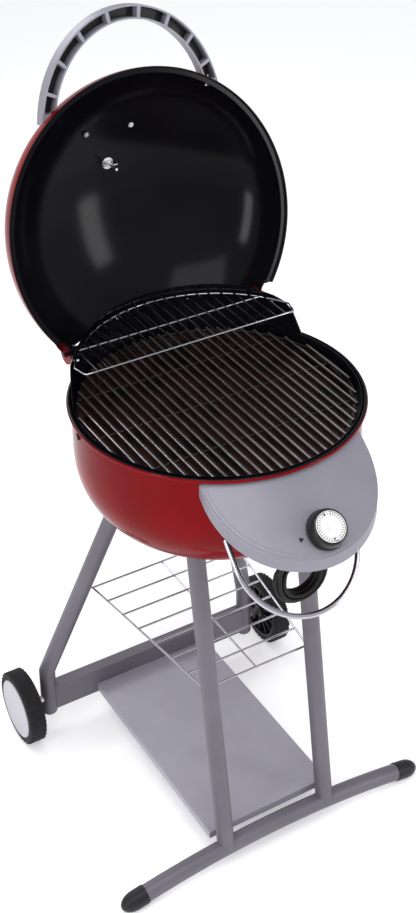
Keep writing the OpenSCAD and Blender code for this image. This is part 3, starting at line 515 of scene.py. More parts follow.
class Palette:
    """Every finish of the grill, built once."""

    def __init__(self) -> None:
        """Builds the finishes by the names of the record's slots."""
        recipes = [
            Enamel("red_enamel", (0.22, 0.0008, 0.003), (0.15, 0.0006, 0.0025)),
            Enamel("black_enamel", (0.003, 0.0025, 0.004), (0.005, 0.0045, 0.007), 0.14, 0.00004, 0.0, 0.10),
            PowderCoat("leg_paint", (0.145, 0.135, 0.16), (0.12, 0.112, 0.135)),
            PowderCoat("shelf_paint", (0.37, 0.36, 0.42), (0.33, 0.32, 0.375), 0.38),
            Moulded("panel_plastic", (0.262, 0.254, 0.295), (0.235, 0.228, 0.268), 0.36, 0.00005, 0.0, 0.2),
            Moulded("black_plastic", (0.008, 0.0075, 0.009), (0.013, 0.012, 0.014), 0.4),
            Moulded("gloss_black", (0.006, 0.0055, 0.006), (0.01, 0.009, 0.01), 0.24, 0.00002, 0.1),
            Moulded("silver_plastic", (0.74, 0.74, 0.76), (0.66, 0.66, 0.69), 0.26, 0.00001, 0.3, 0.5),
            Moulded("cap_grey", (0.46, 0.45, 0.49), (0.42, 0.41, 0.45), 0.34, 0.00003, 0.2, 0.3),
            Plated("chrome_wire", (0.50, 0.49, 0.53), (0.32, 0.31, 0.34), 0.10),
            Plated("zinc", (0.62, 0.61, 0.62), (0.46, 0.45, 0.46), 0.22),
            Plated("bright_sheet", (0.72, 0.72, 0.74), (0.55, 0.54, 0.56), 0.26, 300.0, 0.2),
            Plated("element", (0.16, 0.15, 0.15), (0.10, 0.09, 0.09), 0.42, 900.0, 0.2),
            Plated("brass", (0.80, 0.62, 0.28), (0.60, 0.44, 0.19), 0.2),
            Rubber("tyre", (0.009, 0.0085, 0.010), (0.022, 0.021, 0.023)),
            Rubber("cord_rubber", (0.007, 0.0065, 0.007), (0.014, 0.013, 0.014), 0.5),
            BakedPlate("dark_plate", (0.024, 0.009, 0.007), (0.006, 0.003, 0.003), (0.050, 0.017, 0.011)),
            # Grate rods: painted highlight colour on their tops, painted shade colour on their flanks.
            HighlitRod("grate_rod", (0.46, 0.44, 0.45), (0.022, 0.014, 0.013), 0.8645, 0.0025),
            Plated("needle_red", (0.6, 0.03, 0.02), (0.45, 0.02, 0.015), 0.4),
            Dial("dial_white", *self.dial_place("thermometer_dial", False)),
            Dial("knob_print", *self.dial_place("knob_face", True)),
        ]
        self.materials = {recipe.slot: recipe.build() for recipe in recipes}

    @staticmethod
    def dial_place(node: str, leans_back: bool) -> tuple[Point, Point, Point, float]:
        """Finds a round printed face.

        Args:
            node: the CAD node that carries the print.
            leans_back: whether the face's far edge is its upper one.

        Returns:
            Its middle, two directions across it and its radius.
        """
        low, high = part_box(node)
        middle = (low + high) / 2
        size = high - low
        up = Vector((0.0, size.y, size.z if leans_back else -size.z)).normalized()
        return tuple(middle), (1.0, 0.0, 0.0), tuple(up), size.x / 2

    def __getitem__(self, slot: str) -> bpy.types.Material:
        """The finish of a slot."""
        return self.materials[slot]


# ---- meshes ----


class Shape:
    """Mesh building: revolved outlines, swept tubes and tidied copies of CAD nodes."""

    @staticmethod
    def obj(
        name: str, bm: bmesh.types.BMesh, materials: Sequence[bpy.types.Material], crease: float = 35
    ) -> bpy.types.Object:
        """Turns a bmesh into a smooth object with sharp creases.

        Args:
            name: the object's name.
            bm: its geometry, freed here.
            materials: its materials.
            crease: degrees past which an edge is sharp.

        Returns:
            The object.
        """
        limit = math.radians(crease)
        for face in bm.faces:
            face.smooth = True
        for edge in bm.edges:
            edge.smooth = len(edge.link_faces) == 2 and edge.calc_face_angle(0.0) < limit
        mesh = bpy.data.meshes.new(name)
        bm.to_mesh(mesh)
        bm.free()
        if "custom_normal" in mesh.attributes:
            mesh.attributes.remove(mesh.attributes["custom_normal"])
        for material in materials:
            mesh.materials.append(material)
        made = bpy.data.objects.new(name, mesh)
        bpy.context.scene.collection.objects.link(made)
        return made

    @staticmethod
    def revolve(outline: Sequence[Point], steps: int, close: bool = True) -> bmesh.types.BMesh:
        """Turns an outline about Z.

        Args:
            outline: radius and height of each point, outside first, as a closed loop.
            steps: parts of the turn.
            close: whether the last point joins the first.

        Returns:
            The geometry, with its faces outward.
        """
        bm = bmesh.new()
        rings = []
        for radius, height in outline:
            if radius < 1e-6:
                rings.append([bm.verts.new((0, 0, height))] * steps)
                continue
            rings.append(
                [
                    bm.verts.new((radius * math.cos(a), radius * math.sin(a), height))
                    for a in (2 * math.pi * k / steps for k in range(steps))
                ]
            )
        pairs = list(zip(rings, rings[1:] + rings[:1])) if close else list(zip(rings, rings[1:]))
        for row, (first, second) in enumerate(pairs):
            for k in range(steps):
                corners = [first[k], first[(k + 1) % steps], second[(k + 1) % steps], second[k]]
                unique = list(dict.fromkeys(corners))
                if len(unique) > 2:
                    face = bm.faces.new(unique)
                    face.material_index = 0
                    face.tag = False
        bmesh.ops.recalc_face_normals(bm, faces=bm.faces)
        return bm

    @staticmethod
    def tube(
        bm: bmesh.types.BMesh, line: Sequence[Point], radius: float, sides: int = 16, closed: bool = False
    ) -> None:
        """Sweeps a round tube along a line, with domed ends.

        Args:
            bm: where it is added.
            line: the points it follows.
            radius: its radius.
            sides: faces around it.
            closed: whether it runs back into its start.
        """
        points = [Vector(p) for p in line]
        count = len(points)
        turn = (points[1] - points[0]).normalized()
        side = turn.orthogonal().normalized()
        rings = []
        for i, point in enumerate(points):
            before = points[i - 1] if i or closed else point
            after = points[(i + 1) % count] if i < count - 1 or closed else point
            ahead = (after - before).normalized()
            side = (side - ahead * side.dot(ahead)).normalized()
            other = ahead.cross(side)
            ring = []
            for k in range(sides):
                a = 2 * math.pi * k / sides
                ring.append(bm.verts.new(point + radius * (math.cos(a) * side + math.sin(a) * other)))
            rings.append(ring)
        joins = list(zip(rings, rings[1:] + rings[:1])) if closed else list(zip(rings, rings[1:]))
        for first, second in joins:
            for k in range(sides):
                bm.faces.new((first[k], first[(k + 1) % sides], second[(k + 1) % sides], second[k]))
        if not closed:
            for ring, way in ((rings[0], points[0] - points[1]), (rings[-1], points[-1] - points[-2])):
                middle = sum((v.co for v in ring), Vector()) / sides
                tip = bm.verts.new(middle + way.normalized() * radius * 0.35)
                for k in range(sides):
                    bm.faces.new((ring[k], ring[(k + 1) % sides], tip))
        bmesh.ops.recalc_face_normals(bm, faces=bm.faces)

    @staticmethod
    def from_cad(node: str) -> bmesh.types.BMesh:
        """Copies a CAD node's mesh with its loose triangles joined and its degenerate edges dissolved.

        Args:
            node: the node's name.

        Returns:
            The geometry.
        """
        bm = bmesh.new()
        bm.from_mesh(frame["nodes"][node].data)
        bmesh.ops.remove_doubles(bm, verts=bm.verts, dist=2e-6)
        bmesh.ops.dissolve_degenerate(bm, dist=2e-6, edges=bm.edges)
        return bm

    @staticmethod
    def baked(obj: bpy.types.Object) -> bpy.types.Object:
        """Applies an object's modifiers.

        Args:
            obj: the object.

        Returns:
            The same object, with a plain mesh.
        """
        graph = bpy.context.evaluated_depsgraph_get()
        mesh = bpy.data.meshes.new_from_object(obj.evaluated_get(graph))
        obj.modifiers.clear()
        old = obj.data
        obj.data = mesh
        if isinstance(old, bpy.types.Mesh):
            bpy.data.meshes.remove(old)
        return obj

    @staticmethod
    def cut(obj: bpy.types.Object, cutters: Sequence[bpy.types.Object]) -> bpy.types.Object:
        """Cuts solids from an object.

        Args:
            obj: the object.
            cutters: the solids, removed here.

        Returns:
            The same object.
        """
        for cutter in cutters:
            modifier = obj.modifiers.new("cut", "BOOLEAN")
            modifier.operation = "DIFFERENCE"
            modifier.solver = "EXACT"
            modifier.object = cutter
        Shape.baked(obj)
        for cutter in cutters:
            bpy.data.objects.remove(cutter)
        return obj

    @staticmethod
    def block(low: Point, high: Point, material: bpy.types.Material) -> bpy.types.Object:
        """A cutting block between two corners.

        Args:
            low: its lowest corner.
            high: its highest corner.
            material: the finish of the cut faces.

        Returns:
            The block.
        """
        bm = bmesh.new()
        made = bmesh.ops.create_cube(bm, size=1.0)
        for vert in made["verts"]:
            vert.co = Vector(low[k] + (vert.co[k] + 0.5) * (high[k] - low[k]) for k in range(3))
        return Shape.obj("cutter", bm, [material])


@dataclass
class Bench:
    """Where pieces are finished: it knows the palette and hands pieces to the frame."""

    palette: Palette
    count: int = 0

    def hand_in(self, piece: bpy.types.Object, body: str, slot: str, *nodes: str) -> bpy.types.Object:
        """Gives a piece to its body in place of its CAD nodes.

        Args:
            piece: the finished piece.
            body: the body that it rides on.
            slot: the material slot of its finish.
            *nodes: the CAD nodes that it stands for.

        Returns:
            The piece.
        """
        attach(piece, body)
        if nodes:
            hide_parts(*nodes)
        self.count += 1
        log.info("%s rides on %s in %s", piece.name, body, slot)
        return piece

    def refine(
        self, node: str, slot: str, soften: float = 0.0004, crease: float = 35, finish: str = ""
    ) -> bpy.types.Object:
        """Stands a softened copy of a CAD node in its place.

        Args:
            node: the node's name.
            slot: the slot of its finish.
            soften: width of the rounding on its sharp edges.
            crease: degrees past which an edge counts as sharp.
            finish: the finish's name where it isn't the slot's.

        Returns:
            The piece.
        """
        bm = Shape.from_cad(node)
        bmesh.ops.dissolve_limit(bm, angle_limit=math.radians(0.3), verts=bm.verts, edges=bm.edges)
        piece = Shape.obj(f"{node}.look", bm, [self.palette[finish or slot]], crease)
        if soften:
            bevel = piece.modifiers.new("soften", "BEVEL")
            bevel.width = soften
            bevel.segments = 2
            bevel.limit_method = "ANGLE"
            bevel.angle_limit = math.radians(crease)
            bevel.harden_normals = True
            bevel.use_clamp_overlap = True
            Shape.baked(piece)
        body = frame["nodes"][node]["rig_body"]
        return self.hand_in(piece, body, slot, node)


# ---- repeated wires and lugs ----


class Pattern:
    """A Geometry Nodes group with named inputs, run once on an empty mesh."""

    name = "pattern"
    inputs: dict[str, tuple[str, float]] = {}

    def __init__(self, material: bpy.types.Material) -> None:
        """Builds the group for one finish."""
        self.tree = bpy.data.node_groups.new(self.name, "GeometryNodeTree")
        self.graph = Graph(self.tree)
        self.keys: dict[str, str] = {}
        face = self.tree.interface
        face.new_socket("Geometry", in_out="OUTPUT", socket_type="NodeSocketGeometry")
        for label, (kind, default) in self.inputs.items():
            socket = face.new_socket(label, in_out="INPUT", socket_type=f"NodeSocket{kind}")
            socket.default_value = default
            self.keys[label] = socket.identifier
        entry = self.tree.nodes.new("NodeGroupInput")
        self.value = {label: Sock(self.graph, entry.outputs[label]) for label in self.inputs}
        shape = self.layout()
        plain = self.graph.node("GeometryNodeRealizeInstances", None, {0: shape})
        smooth = self.graph.node("GeometryNodeSetShadeSmooth", None, {0: plain, "Shade Smooth": True})
        dressed = self.graph.node("GeometryNodeSetMaterial", None, {0: smooth, "Material": material})
        end = self.tree.nodes.new("NodeGroupOutput")
        self.tree.links.new(dressed.socket, end.inputs[0])
        self.material = material

    def layout(self) -> Sock:
        """Adds the group's own nodes and returns its geometry."""
        raise NotImplementedError

    def wire(self, curve: Sock, radius: Sock, sides: int = 10) -> Sock:
        """Gives curves a round section.

        Args:
            curve: realized curves.
            radius: the section's radius.
            sides: its sides.

        Returns:
            The meshed wires.
        """
        even = self.graph.node("GeometryNodeSetCurveRadius", None, {0: curve, "Radius": 1.0})
        size = {"Resolution": sides, "Radius": radius}
        ring = self.graph.node("GeometryNodeCurvePrimitiveCircle", None, size)
        values = {0: even, 1: ring, "Fill Caps": True}
        return self.graph.node("GeometryNodeCurveToMesh", None, values)

    def make(self, name: str, **sizes: float) -> bpy.types.Object:
        """Runs the group.

        Args:
            name: name of the new piece.
            **sizes: values of the inputs, with _ for a space.

        Returns:
            The piece as a plain mesh.
        """
        piece = bpy.data.objects.new(name, bpy.data.meshes.new(name))
        bpy.context.scene.collection.objects.link(piece)
        modifier = piece.modifiers.new(self.name, "NODES")
        modifier.node_group = self.tree
        for label, size in sizes.items():
            modifier[self.keys[label.replace("_", " ")]] = size
        Shape.baked(piece)
        if not piece.data.materials:
            piece.data.materials.append(self.material)
        return piece


class ChordRods(Pattern):
    """Parallel rods across a circle, from a straight front or from the circle itself."""

    name = "chord_rods"
    inputs = {
        "Count": ("Int", 27),
        "Pitch": ("Float", 0.0175),
        "Circle": ("Float", 0.2357),
        "Front": ("Float", 0.0),
        "Straight": ("Float", 0.0),
        "Height": ("Float", 0.862),
        "Rod": ("Float", 0.0025),
    }

    def layout(self) -> Sock:
        """Rods at even pitch, each as long as its chord.

        Returns:
            The meshed rods.
        """
        graph, value = self.graph, self.value
        zero = (0.0, 0.0, 0.0)
        points = graph.node("GeometryNodePoints", None, {"Count": value["Count"], "Position": zero})
        index = graph.node("GeometryNodeInputIndex")
        x = (index - (value["Count"] - 1) * 0.5) * value["Pitch"]
        gap = value["Circle"] * value["Circle"] - x * x
        back = gap.math("MAXIMUM", gap, 1e-8).root()
        front = value["Straight"] * value["Front"] - (1 - value["Straight"]) * back
        place = graph.node("ShaderNodeCombineXYZ", None, {0: x, 1: (front + back) * 0.5, 2: value["Height"]})
        placed = graph.node("GeometryNodeSetPosition", None, {0: points, "Position": place})
        ends = {"Start": (0.0, -1.0, 0.0), "End": (0.0, 1.0, 0.0)}
        stick = graph.node("GeometryNodeCurvePrimitiveLine", None, ends)
        length = graph.node("ShaderNodeCombineXYZ", None, {0: 1.0, 1: (back - front) * 0.5, 2: 1.0})
        values = {0: placed, "Instance": stick, "Scale": length}
        rods = graph.node("GeometryNodeInstanceOnPoints", None, values)
        lines = graph.node("GeometryNodeRealizeInstances", None, {0: rods})
        return self.wire(lines, value["Rod"])


class LadderRods(Pattern):
    """Rungs between two straight rails that draw apart from front to back."""

    name = "ladder_rods"
    inputs = {
        "Count": ("Int", 8),
        "Front Half": ("Float", 0.108),
        "Back Half": ("Float", 0.152),
        "Front": ("Float", -0.135),
        "Back": ("Float", 0.211),
        "Height": ("Float", 0.367),
        "Rod": ("Float", 0.002),
    }

    def layout(self) -> Sock:
        """Rungs at even steps from front to back.

        Returns:
            The meshed rungs.
        """
        graph, value = self.graph, self.value
        points = graph.node("GeometryNodePoints", None, {"Count": value["Count"]})
        share = graph.node("GeometryNodeInputIndex") / (value["Count"] - 1)
        y = value["Front"] + (value["Back"] - value["Front"]) * share
        half = value["Front Half"] + (value["Back Half"] - value["Front Half"]) * share
        place = graph.node("ShaderNodeCombineXYZ", None, {0: 0.0, 1: y, 2: value["Height"]})
        placed = graph.node("GeometryNodeSetPosition", None, {0: points, "Position": place})
        ends = {"Start": (-1.0, 0.0, 0.0), "End": (1.0, 0.0, 0.0)}
        stick = graph.node("GeometryNodeCurvePrimitiveLine", None, ends)
        length = graph.node("ShaderNodeCombineXYZ", None, {0: half, 1: 1.0, 2: 1.0})
        values = {0: placed, "Instance": stick, "Scale": length}
        rungs = graph.node("GeometryNodeInstanceOnPoints", None, values)
        lines = graph.node("GeometryNodeRealizeInstances", None, {0: rungs})
        return self.wire(lines, value["Rod"])


class TreadLugs(Pattern):
    """Staggered diamond lugs around a tyre whose axle runs along X."""

    name = "tread_lugs"
    inputs = {
        "Count": ("Int", 34),
        "Rows": ("Int", 5),
        "Radius": ("Float", 0.0732),
        "Height": ("Float", 0.0008),
        "Width": ("Float", 0.030),
        "Middle": ("Float", 0.286),
        "Axle Y": ("Float", 0.278),
        "Axle Z": ("Float", 0.074),
    }

    def layout(self) -> Sock:
        """Rows of lugs, each row turned by half a step.

        Returns:
            The lugs.
        """
        graph, value = self.graph, self.value
        total = value["Count"] * value["Rows"]
        points = graph.node("GeometryNodePoints", None, {"Count": total})
        index = graph.node("GeometryNodeInputIndex")
        row = index.math("FLOOR", index / value["Count"] + 0.001)
        step = index - row * value["Count"]
        half_turn = row.math("MODULO", row, 2.0) * 0.5
        angle = (step + half_turn) * (2 * math.pi) / value["Count"]
        x = value["Middle"] + ((row + 0.5) / value["Rows"] - 0.5) * value["Width"]
        reach = value["Radius"]
        y = value["Axle Y"] + reach * angle.math("COSINE", angle)
        z = value["Axle Z"] + reach * angle.math("SINE", angle)
        place = graph.node("ShaderNodeCombineXYZ", None, {0: x, 1: y, 2: z})
        placed = graph.node("GeometryNodeSetPosition", None, {0: points, "Position": place})
        lug = graph.node(
            "GeometryNodeMeshCone",
            {"fill_type": "NGON"},
            {"Vertices": 4, "Radius Top": 0.0030, "Radius Bottom": 0.0044, "Depth": value["Height"] + 0.0006},
            "Mesh",
        )
        sunk = graph.node("GeometryNodeTransform", None, {0: lug, "Translation": (0.0, 0.0, -0.0006)})
        spin = graph.node("ShaderNodeCombineXYZ", None, {0: angle - math.pi / 2, 1: 0.0, 2: 0.0})
        values = {0: placed, "Instance": sunk, "Rotation": spin, "Scale": (0.85, 1.25, 1.0)}
        return graph.node("GeometryNodeInstanceOnPoints", None, values)


# ---- sub-assemblies ----


@dataclass
class Cord:
    """Power lead: a short drop, a coil on its peg and a tail with the plug lying on the coil."""

    bench: Bench
    exit: Point = (-0.036, -0.266, 0.708)
    diameter: float = 0.007
    length: float = 1.8
    middle: Point = (0.006, 0.656)
    turns: tuple[tuple[float, float], ...] = (
        (0.0445, -0.2605),
        (0.0365, -0.2605),
        (0.0365, -0.2520),
        (0.0365, -0.2435),
        (0.0445, -0.2435),
        (0.0445, -0.2508),
        (0.0492, -0.2556),
    )
    lead_in: tuple[Point, ...] = (
        (-0.036, -0.266, 0.708),
        (-0.036, -0.266, 0.702),
        (-0.037, -0.265, 0.695),
        (-0.038, -0.263, 0.687),
        (-0.039, -0.261, 0.679),
        (-0.039, -0.2605, 0.671),
        (-0.0387, -0.2605, 0.664),
    )
    tail: tuple[Point, ...] = (
        (0.0548, -0.2553, 0.664),
        (0.0540, -0.2545, 0.672),
        (0.0525, -0.2538, 0.680),
        (0.0505, -0.2530, 0.688),
        (0.048, -0.2525, 0.697),
        (0.044, -0.253, 0.705),
        (0.037, -0.2535, 0.712),
        (0.029, -0.254, 0.7165),
        (0.022, -0.254, 0.7175),
    )

    def coil(self) -> list[Point]:
        """Winds the coil, each turn stepping to the next in its last part.

        Returns:
            The points of all turns, the last one a half turn.
        """
        steps = 24
        points = []
        for turn, (radius, y) in enumerate(self.turns):
            last = turn == len(self.turns) - 1
            after = self.turns[turn] if last else self.turns[turn + 1]
            for k in range(steps // 2 + 1 if last else steps):
                share = max(0.0, (k / steps - 0.82) / 0.18)
                ease = share * share * (3 - 2 * share)
                r = radius + (after[0] - radius) * ease
                angle = math.pi + 2 * math.pi * k / steps
                at = y + (after[1] - y) * ease
                x, z = self.middle
                points.append((x + r * math.cos(angle), at, z + r * math.sin(angle)))
        return points

    def build(self) -> None:
        """Lays the lead as one curve and dresses its plug."""
        route = [*self.lead_in, *self.coil(), *self.tail]
        curve = bpy.data.curves.new("cord", "CURVE")
        curve.dimensions = "3D"
        curve.bevel_depth = self.diameter / 2
        curve.bevel_resolution = 4
        curve.use_fill_caps = True
        curve.materials.append(self.bench.palette["cord_rubber"])
        spline = curve.splines.new("POLY")
        spline.points.add(len(route) - 1)
        for point, place in zip(spline.points, route):
            point.co = (*place, 1.0)
        spline.use_smooth = True
        lead = bpy.data.objects.new("power_cord", curve)
        bpy.context.scene.collection.objects.link(lead)
        self.bench.hand_in(lead, "root", "cord_rubber", "cord_tube", "cord_coil")
        plug = self.bench.refine("plug_body", "cord_rubber", 0.0008)
        blades = self.bench.refine("plug_blades", "brass", 0.0002)
        self.bench.refine("strain_relief", "cord_rubber", 0.0005)
        self.bench.refine("cord_hook", "zinc", 0.0)


@dataclass
class Kettle:
    """Bowl, rear wall and what lies in them."""

    bench: Bench
    bowl_r: float = 0.247
    depth: float = 0.173
    power: float = 2.6
    sheet: float = 0.0016
    grate_r: float = 0.2357
    rack_r: float = 0.2362
    bead_r: float = 0.004
    bead_at: tuple[float, float] = (0.2504, 0.870)
    bead_mid: float = 0.2515
    bead_low: float = 0.8660
    bead_top: float = 0.8725

    def curve(self, inset: float, steps: int = 40) -> list[tuple[float, float]]:
        """The bowl's side from its straight wall to its bottom.

        Args:
            inset: how far inside the outer face.
            steps: points along the curve.

        Returns:
            Radius and height of each point.
        """
        points = []
        for i in range(steps + 1):
            a = math.pi / 2 * (i / steps) ** 0.9
            r = (self.bowl_r - inset) * max(math.cos(a), 0.0) ** (2 / self.power)
            fall = (self.depth - inset) * math.sin(a) ** (2 / self.power)
            points.append((0.0 if i == steps else r, CURVE_Z - fall))
        return points

    def bowl(self) -> None:
        """Red outside, black inside, with a rolled bead at the rim and a drain slot."""
        palette = self.bench.palette
        bead = [
            (self.bead_at[0] + self.bead_r * math.cos(a), self.bead_at[1] + self.bead_r * math.sin(a))
            for a in (math.radians(d) for d in range(-150, 181, 15))
        ]
        outside = [(self.bowl_r, 0.8 + 0.066 * k / 6) for k in range(5, 0, -1)] + self.curve(0.0)
        inside = self.curve(self.sheet)[::-1] + [(self.bowl_r - self.sheet, 0.869)]
        bm = Shape.revolve(bead[::-1] + outside + inside, 192)
        mid = self.bowl_r - self.sheet / 2
        for face in bm.faces:
            spot = face.calc_center_median()
            face.normal_update()
            out = Vector((spot.x, spot.y, (spot.z - 0.86) * 1.5))
            face.material_index = 0 if face.normal.dot(out) > 0 else 1
            away = Vector((spot.x, spot.y)).length
            if spot.z > CURVE_Z + 0.001:
                face.material_index = 0 if away > mid else 1
            if spot.z > self.bead_low and (away < self.bead_mid or spot.z > self.bead_top):
                face.material_index = 1
        piece = Shape.obj("bowl.look", bm, [palette["red_enamel"], palette["black_enamel"]])
        Shape.cut(piece, [Shape.block((-0.014, -0.060, 0.60), (0.014, -0.055, 0.66), palette["red_enamel"])])
        self.bench.hand_in(piece, "root", "red_enamel", "bowl")

    def grate(self) -> None:
        """Cooking grate: rods across a ring, held by three cross rods."""
        palette = self.bench.palette
        rods = ChordRods(palette["grate_rod"])
        rod, rods_z, ring_z = 0.0025, 0.862, 0.8575
        across = rods.make(
            "grate_rods", Count=27, Pitch=0.0175, Circle=self.grate_r + 0.001, Height=rods_z, Rod=rod
        )
        bm = bmesh.new()
        bm.from_mesh(across.data)
        ring = [
            (self.grate_r * math.cos(a), self.grate_r * math.sin(a), ring_z)
            for a in (2 * math.pi * k / 160 for k in range(160))
        ]
        Shape.tube(bm, ring, rod, 10, True)
        for y in (-0.12, 0.0, 0.12):
            x = math.sqrt(self.grate_r**2 - y * y)
            Shape.tube(bm, [(-x, y, ring_z), (0, y, ring_z), (x, y, ring_z)], rod, 10)
        bpy.data.objects.remove(across)
        piece = Shape.obj("cooking_grate.look", bm, [palette["grate_rod"]], 60)
        self.bench.hand_in(piece, "cooking_grate", "grate_rod", "cooking_grate")

    def rack(self) -> None:
        """Warming rack: a bent outline wire, a middle wire and cross wires on top."""
        palette = self.bench.palette
        radius, z, front = 0.0016, 0.934, 0.076
        wires = ChordRods(palette["chrome_wire"])
        cross = wires.make(
            "rack_rods",
            Count=20,
            Pitch=0.408 / 21,
            Circle=self.rack_r + 0.0008,
            Front=front - 0.0008,
            Straight=1.0,
            Height=z + 0.0026,
            Rod=radius,
        )
        bm = bmesh.new()
        bm.from_mesh(cross.data)
        bpy.data.objects.remove(cross)
        arc = [
            (self.rack_r * math.cos(math.radians(d)), self.rack_r * math.sin(math.radians(d)), z)
            for d in range(26, 155, 2)
        ]
        outline = arc + [(-0.209, 0.092, z), (-0.207, 0.082, z), (-0.204, front, z), (-0.190, front, z)]
        outline += [(x / 100, front, z) for x in range(-16, 17, 4)]
        outline += [(0.190, front, z), (0.204, front, z), (0.207, 0.082, z), (0.209, 0.092, z)]
        Shape.tube(bm, outline, radius, 10, True)
        Shape.tube(bm, [(-0.180, 0.152, z), (0, 0.152, z), (0.180, 0.152, z)], radius, 10)
        piece = Shape.obj("warming_rack.look", bm, [palette["chrome_wire"]], 60)
        self.bench.hand_in(piece, "warming_rack", "chrome_wire", "warming_rack")

    def build(self) -> None:
        """Builds the kettle's pieces."""
        self.bowl()
        self.grate()
        self.rack()
        bench = self.bench
        bench.refine("rear_wall", "black_enamel", 0.0003)
        bench.refine("wall_screws", "zinc", finish="gloss_black")
        for node, slot in {
            "emitter_plate": "dark_plate",
            "heat_element": "element",
            "element_posts": "zinc",
            "reflector_pan": "bright_sheet",
            "rack_pegs": "zinc",
            "hinge_bosses": "black_enamel",
            "hinge_pins": "black_enamel",
            "hinge_washers": "zinc",
        }.items():
            bench.refine(node, slot)


@dataclass
class Lid:
    """Dome, its handle, thermometer and badge studs, all at the open rest."""

    bench: Bench
    lid_r: float = 0.2689
    lip_in: float = 0.2575
    dome_h: float = 0.170
    sheet: float = 0.0016
    edge_z: float = 0.001
    lip_z: float = 0.006
    ear_r: float = 0.020

    def place(self) -> Matrix:
        """Moves the closed lid's coordinates to the open rest."""
        lift = Matrix.Translation(HINGE)
        back = Matrix.Translation((0.0, -HINGE.y, RIM_Z - HINGE.z))
        return lift @ Matrix.Rotation(OPEN_ANGLE, 4, "X") @ back

    def ellipse(self, inset: float, low: float, steps: int) -> list[tuple[float, float]]:
        """The dome's side from its edge to its top.

        Args:
            inset: how far inside the outer face.
            low: height of the edge.
            steps: points along it.

        Returns:
            Radius and height of each point.
        """
        first = math.asin(low / (self.dome_h - inset))
        points = []
        for i in range(steps + 1):
            a = first + (math.pi / 2 - first) * i / steps
            r = 0.0 if i == steps else (self.lid_r - inset) * math.cos(a)
            points.append((r, (self.dome_h - inset) * math.sin(a)))
        return points

    def shell(self) -> None:
        """Red outside and black inside, cut behind the hinge line and round the ears."""
        palette = self.bench.palette
        outer = self.ellipse(0.0, self.edge_z, 44)
        lip_top = self.lip_z + self.sheet
        inner = [p for p in self.ellipse(self.sheet, self.edge_z, 44)[::-1] if p[1] > lip_top + 0.001]
        inside_r, inside_h = self.lid_r - self.sheet, self.dome_h - self.sheet
        wall = inside_r * math.sqrt(1 - (lip_top / inside_h) ** 2)
        edge = inside_r * math.sqrt(1 - (self.edge_z / inside_h) ** 2)
        lip = [
            (wall - 0.0008, lip_top + 0.0006),
            (wall - 0.0020, lip_top),
            (self.lip_in + 0.0008, lip_top),
            (self.lip_in, self.lip_z + self.sheet / 2),
            (self.lip_in + 0.0008, self.lip_z),
            (edge - 0.0016, self.lip_z),
            (edge - 0.0002, self.lip_z - 0.0014),
            (edge, self.edge_z),
        ]
        bm = Shape.revolve(outer + inner + lip, 224)
        for face in bm.faces:
            spot = face.calc_center_median()
            away = math.hypot(spot.x, spot.y)
            level = math.hypot(away / (self.lid_r - self.sheet / 2), spot.z / (self.dome_h - self.sheet / 2))
            face.material_index = 0 if level > 1.0 else 1
        piece = Shape.obj("lid_shell.look", bm, [palette["red_enamel"], palette["black_enamel"]])
        cutters = [
            Shape.block((-0.3, HINGE.y, -0.01), (0.3, 0.5, 0.3), palette["black_enamel"]),
            Shape.block((-0.3, HINGE.y - 0.030, -0.01), (0.3, 0.5, 0.021), palette["black_enamel"]),
        ]
        for side in Side:
            bore = bmesh.new()
            place = Matrix.Translation((side.value * 0.175, HINGE.y, HINGE.z - RIM_Z))
            bmesh.ops.create_cone(
                bore,
                cap_ends=True,
                segments=48,
                radius1=self.ear_r,
                radius2=self.ear_r,
                depth=0.15,
                matrix=place @ Matrix.Rotation(math.pi / 2, 4, "Y"),
            )
            cutters.append(Shape.obj("cutter", bore, [palette["black_enamel"]]))
        Shape.cut(piece, cutters)
        piece.data.transform(self.place())
        self.bench.hand_in(piece, "lid", "red_enamel", "lid_shell")

    def build(self) -> None:
        """Builds the lid's pieces."""
        self.shell()
        ears = self.bench.refine("lid_ears", "red_enamel", 0.0004)
        ears.data.materials.append(self.bench.palette["black_enamel"])
        for face in ears.data.polygons:
            face.material_index = 0 if face.normal.x * face.center.x > 0 else 1
        for node, slot, soften in (
            ("lid_handle", "panel_plastic", 0.0010),
            ("handle_core", "black_plastic", 0.0006),
            ("handle_screws", "zinc", 0.0003),
            ("thermometer_case", "bright_sheet", 0.0006),
            ("thermometer_dial", "dial_white", 0.0),
            ("thermometer_needle", "needle_red", 0.0001),
            ("thermometer_nut", "zinc", 0.0003),
            ("badge_plate", "silver_plastic", 0.0004),
            ("badge_nuts", "zinc", 0.0003),
        ):
            self.bench.refine(node, slot, soften)


@dataclass
class Console:
    """Control panel with its knob, marks, box and the towel ring under it."""

    bench: Bench

    def build(self) -> None:
        """Builds the console's pieces."""
        for node, slot, soften in (
            ("control_panel", "panel_plastic", 0.0008),
            ("panel_screws", "zinc", 0.0003),
            ("control_box", "black_plastic", 0.0006),
            ("thermostat", "bright_sheet", 0.0003),
            ("knob_body", "gloss_black", 0.0008),
            ("panel_marks", "gloss_black", 0.0),
            ("towel_ring", "chrome_wire", 0.0),
            ("ring_nuts", "zinc", 0.0003),
        ):
            self.bench.refine(node, slot, soften)
        self.bench.refine("knob_face", "silver_plastic", 0.0004, finish="knob_print")


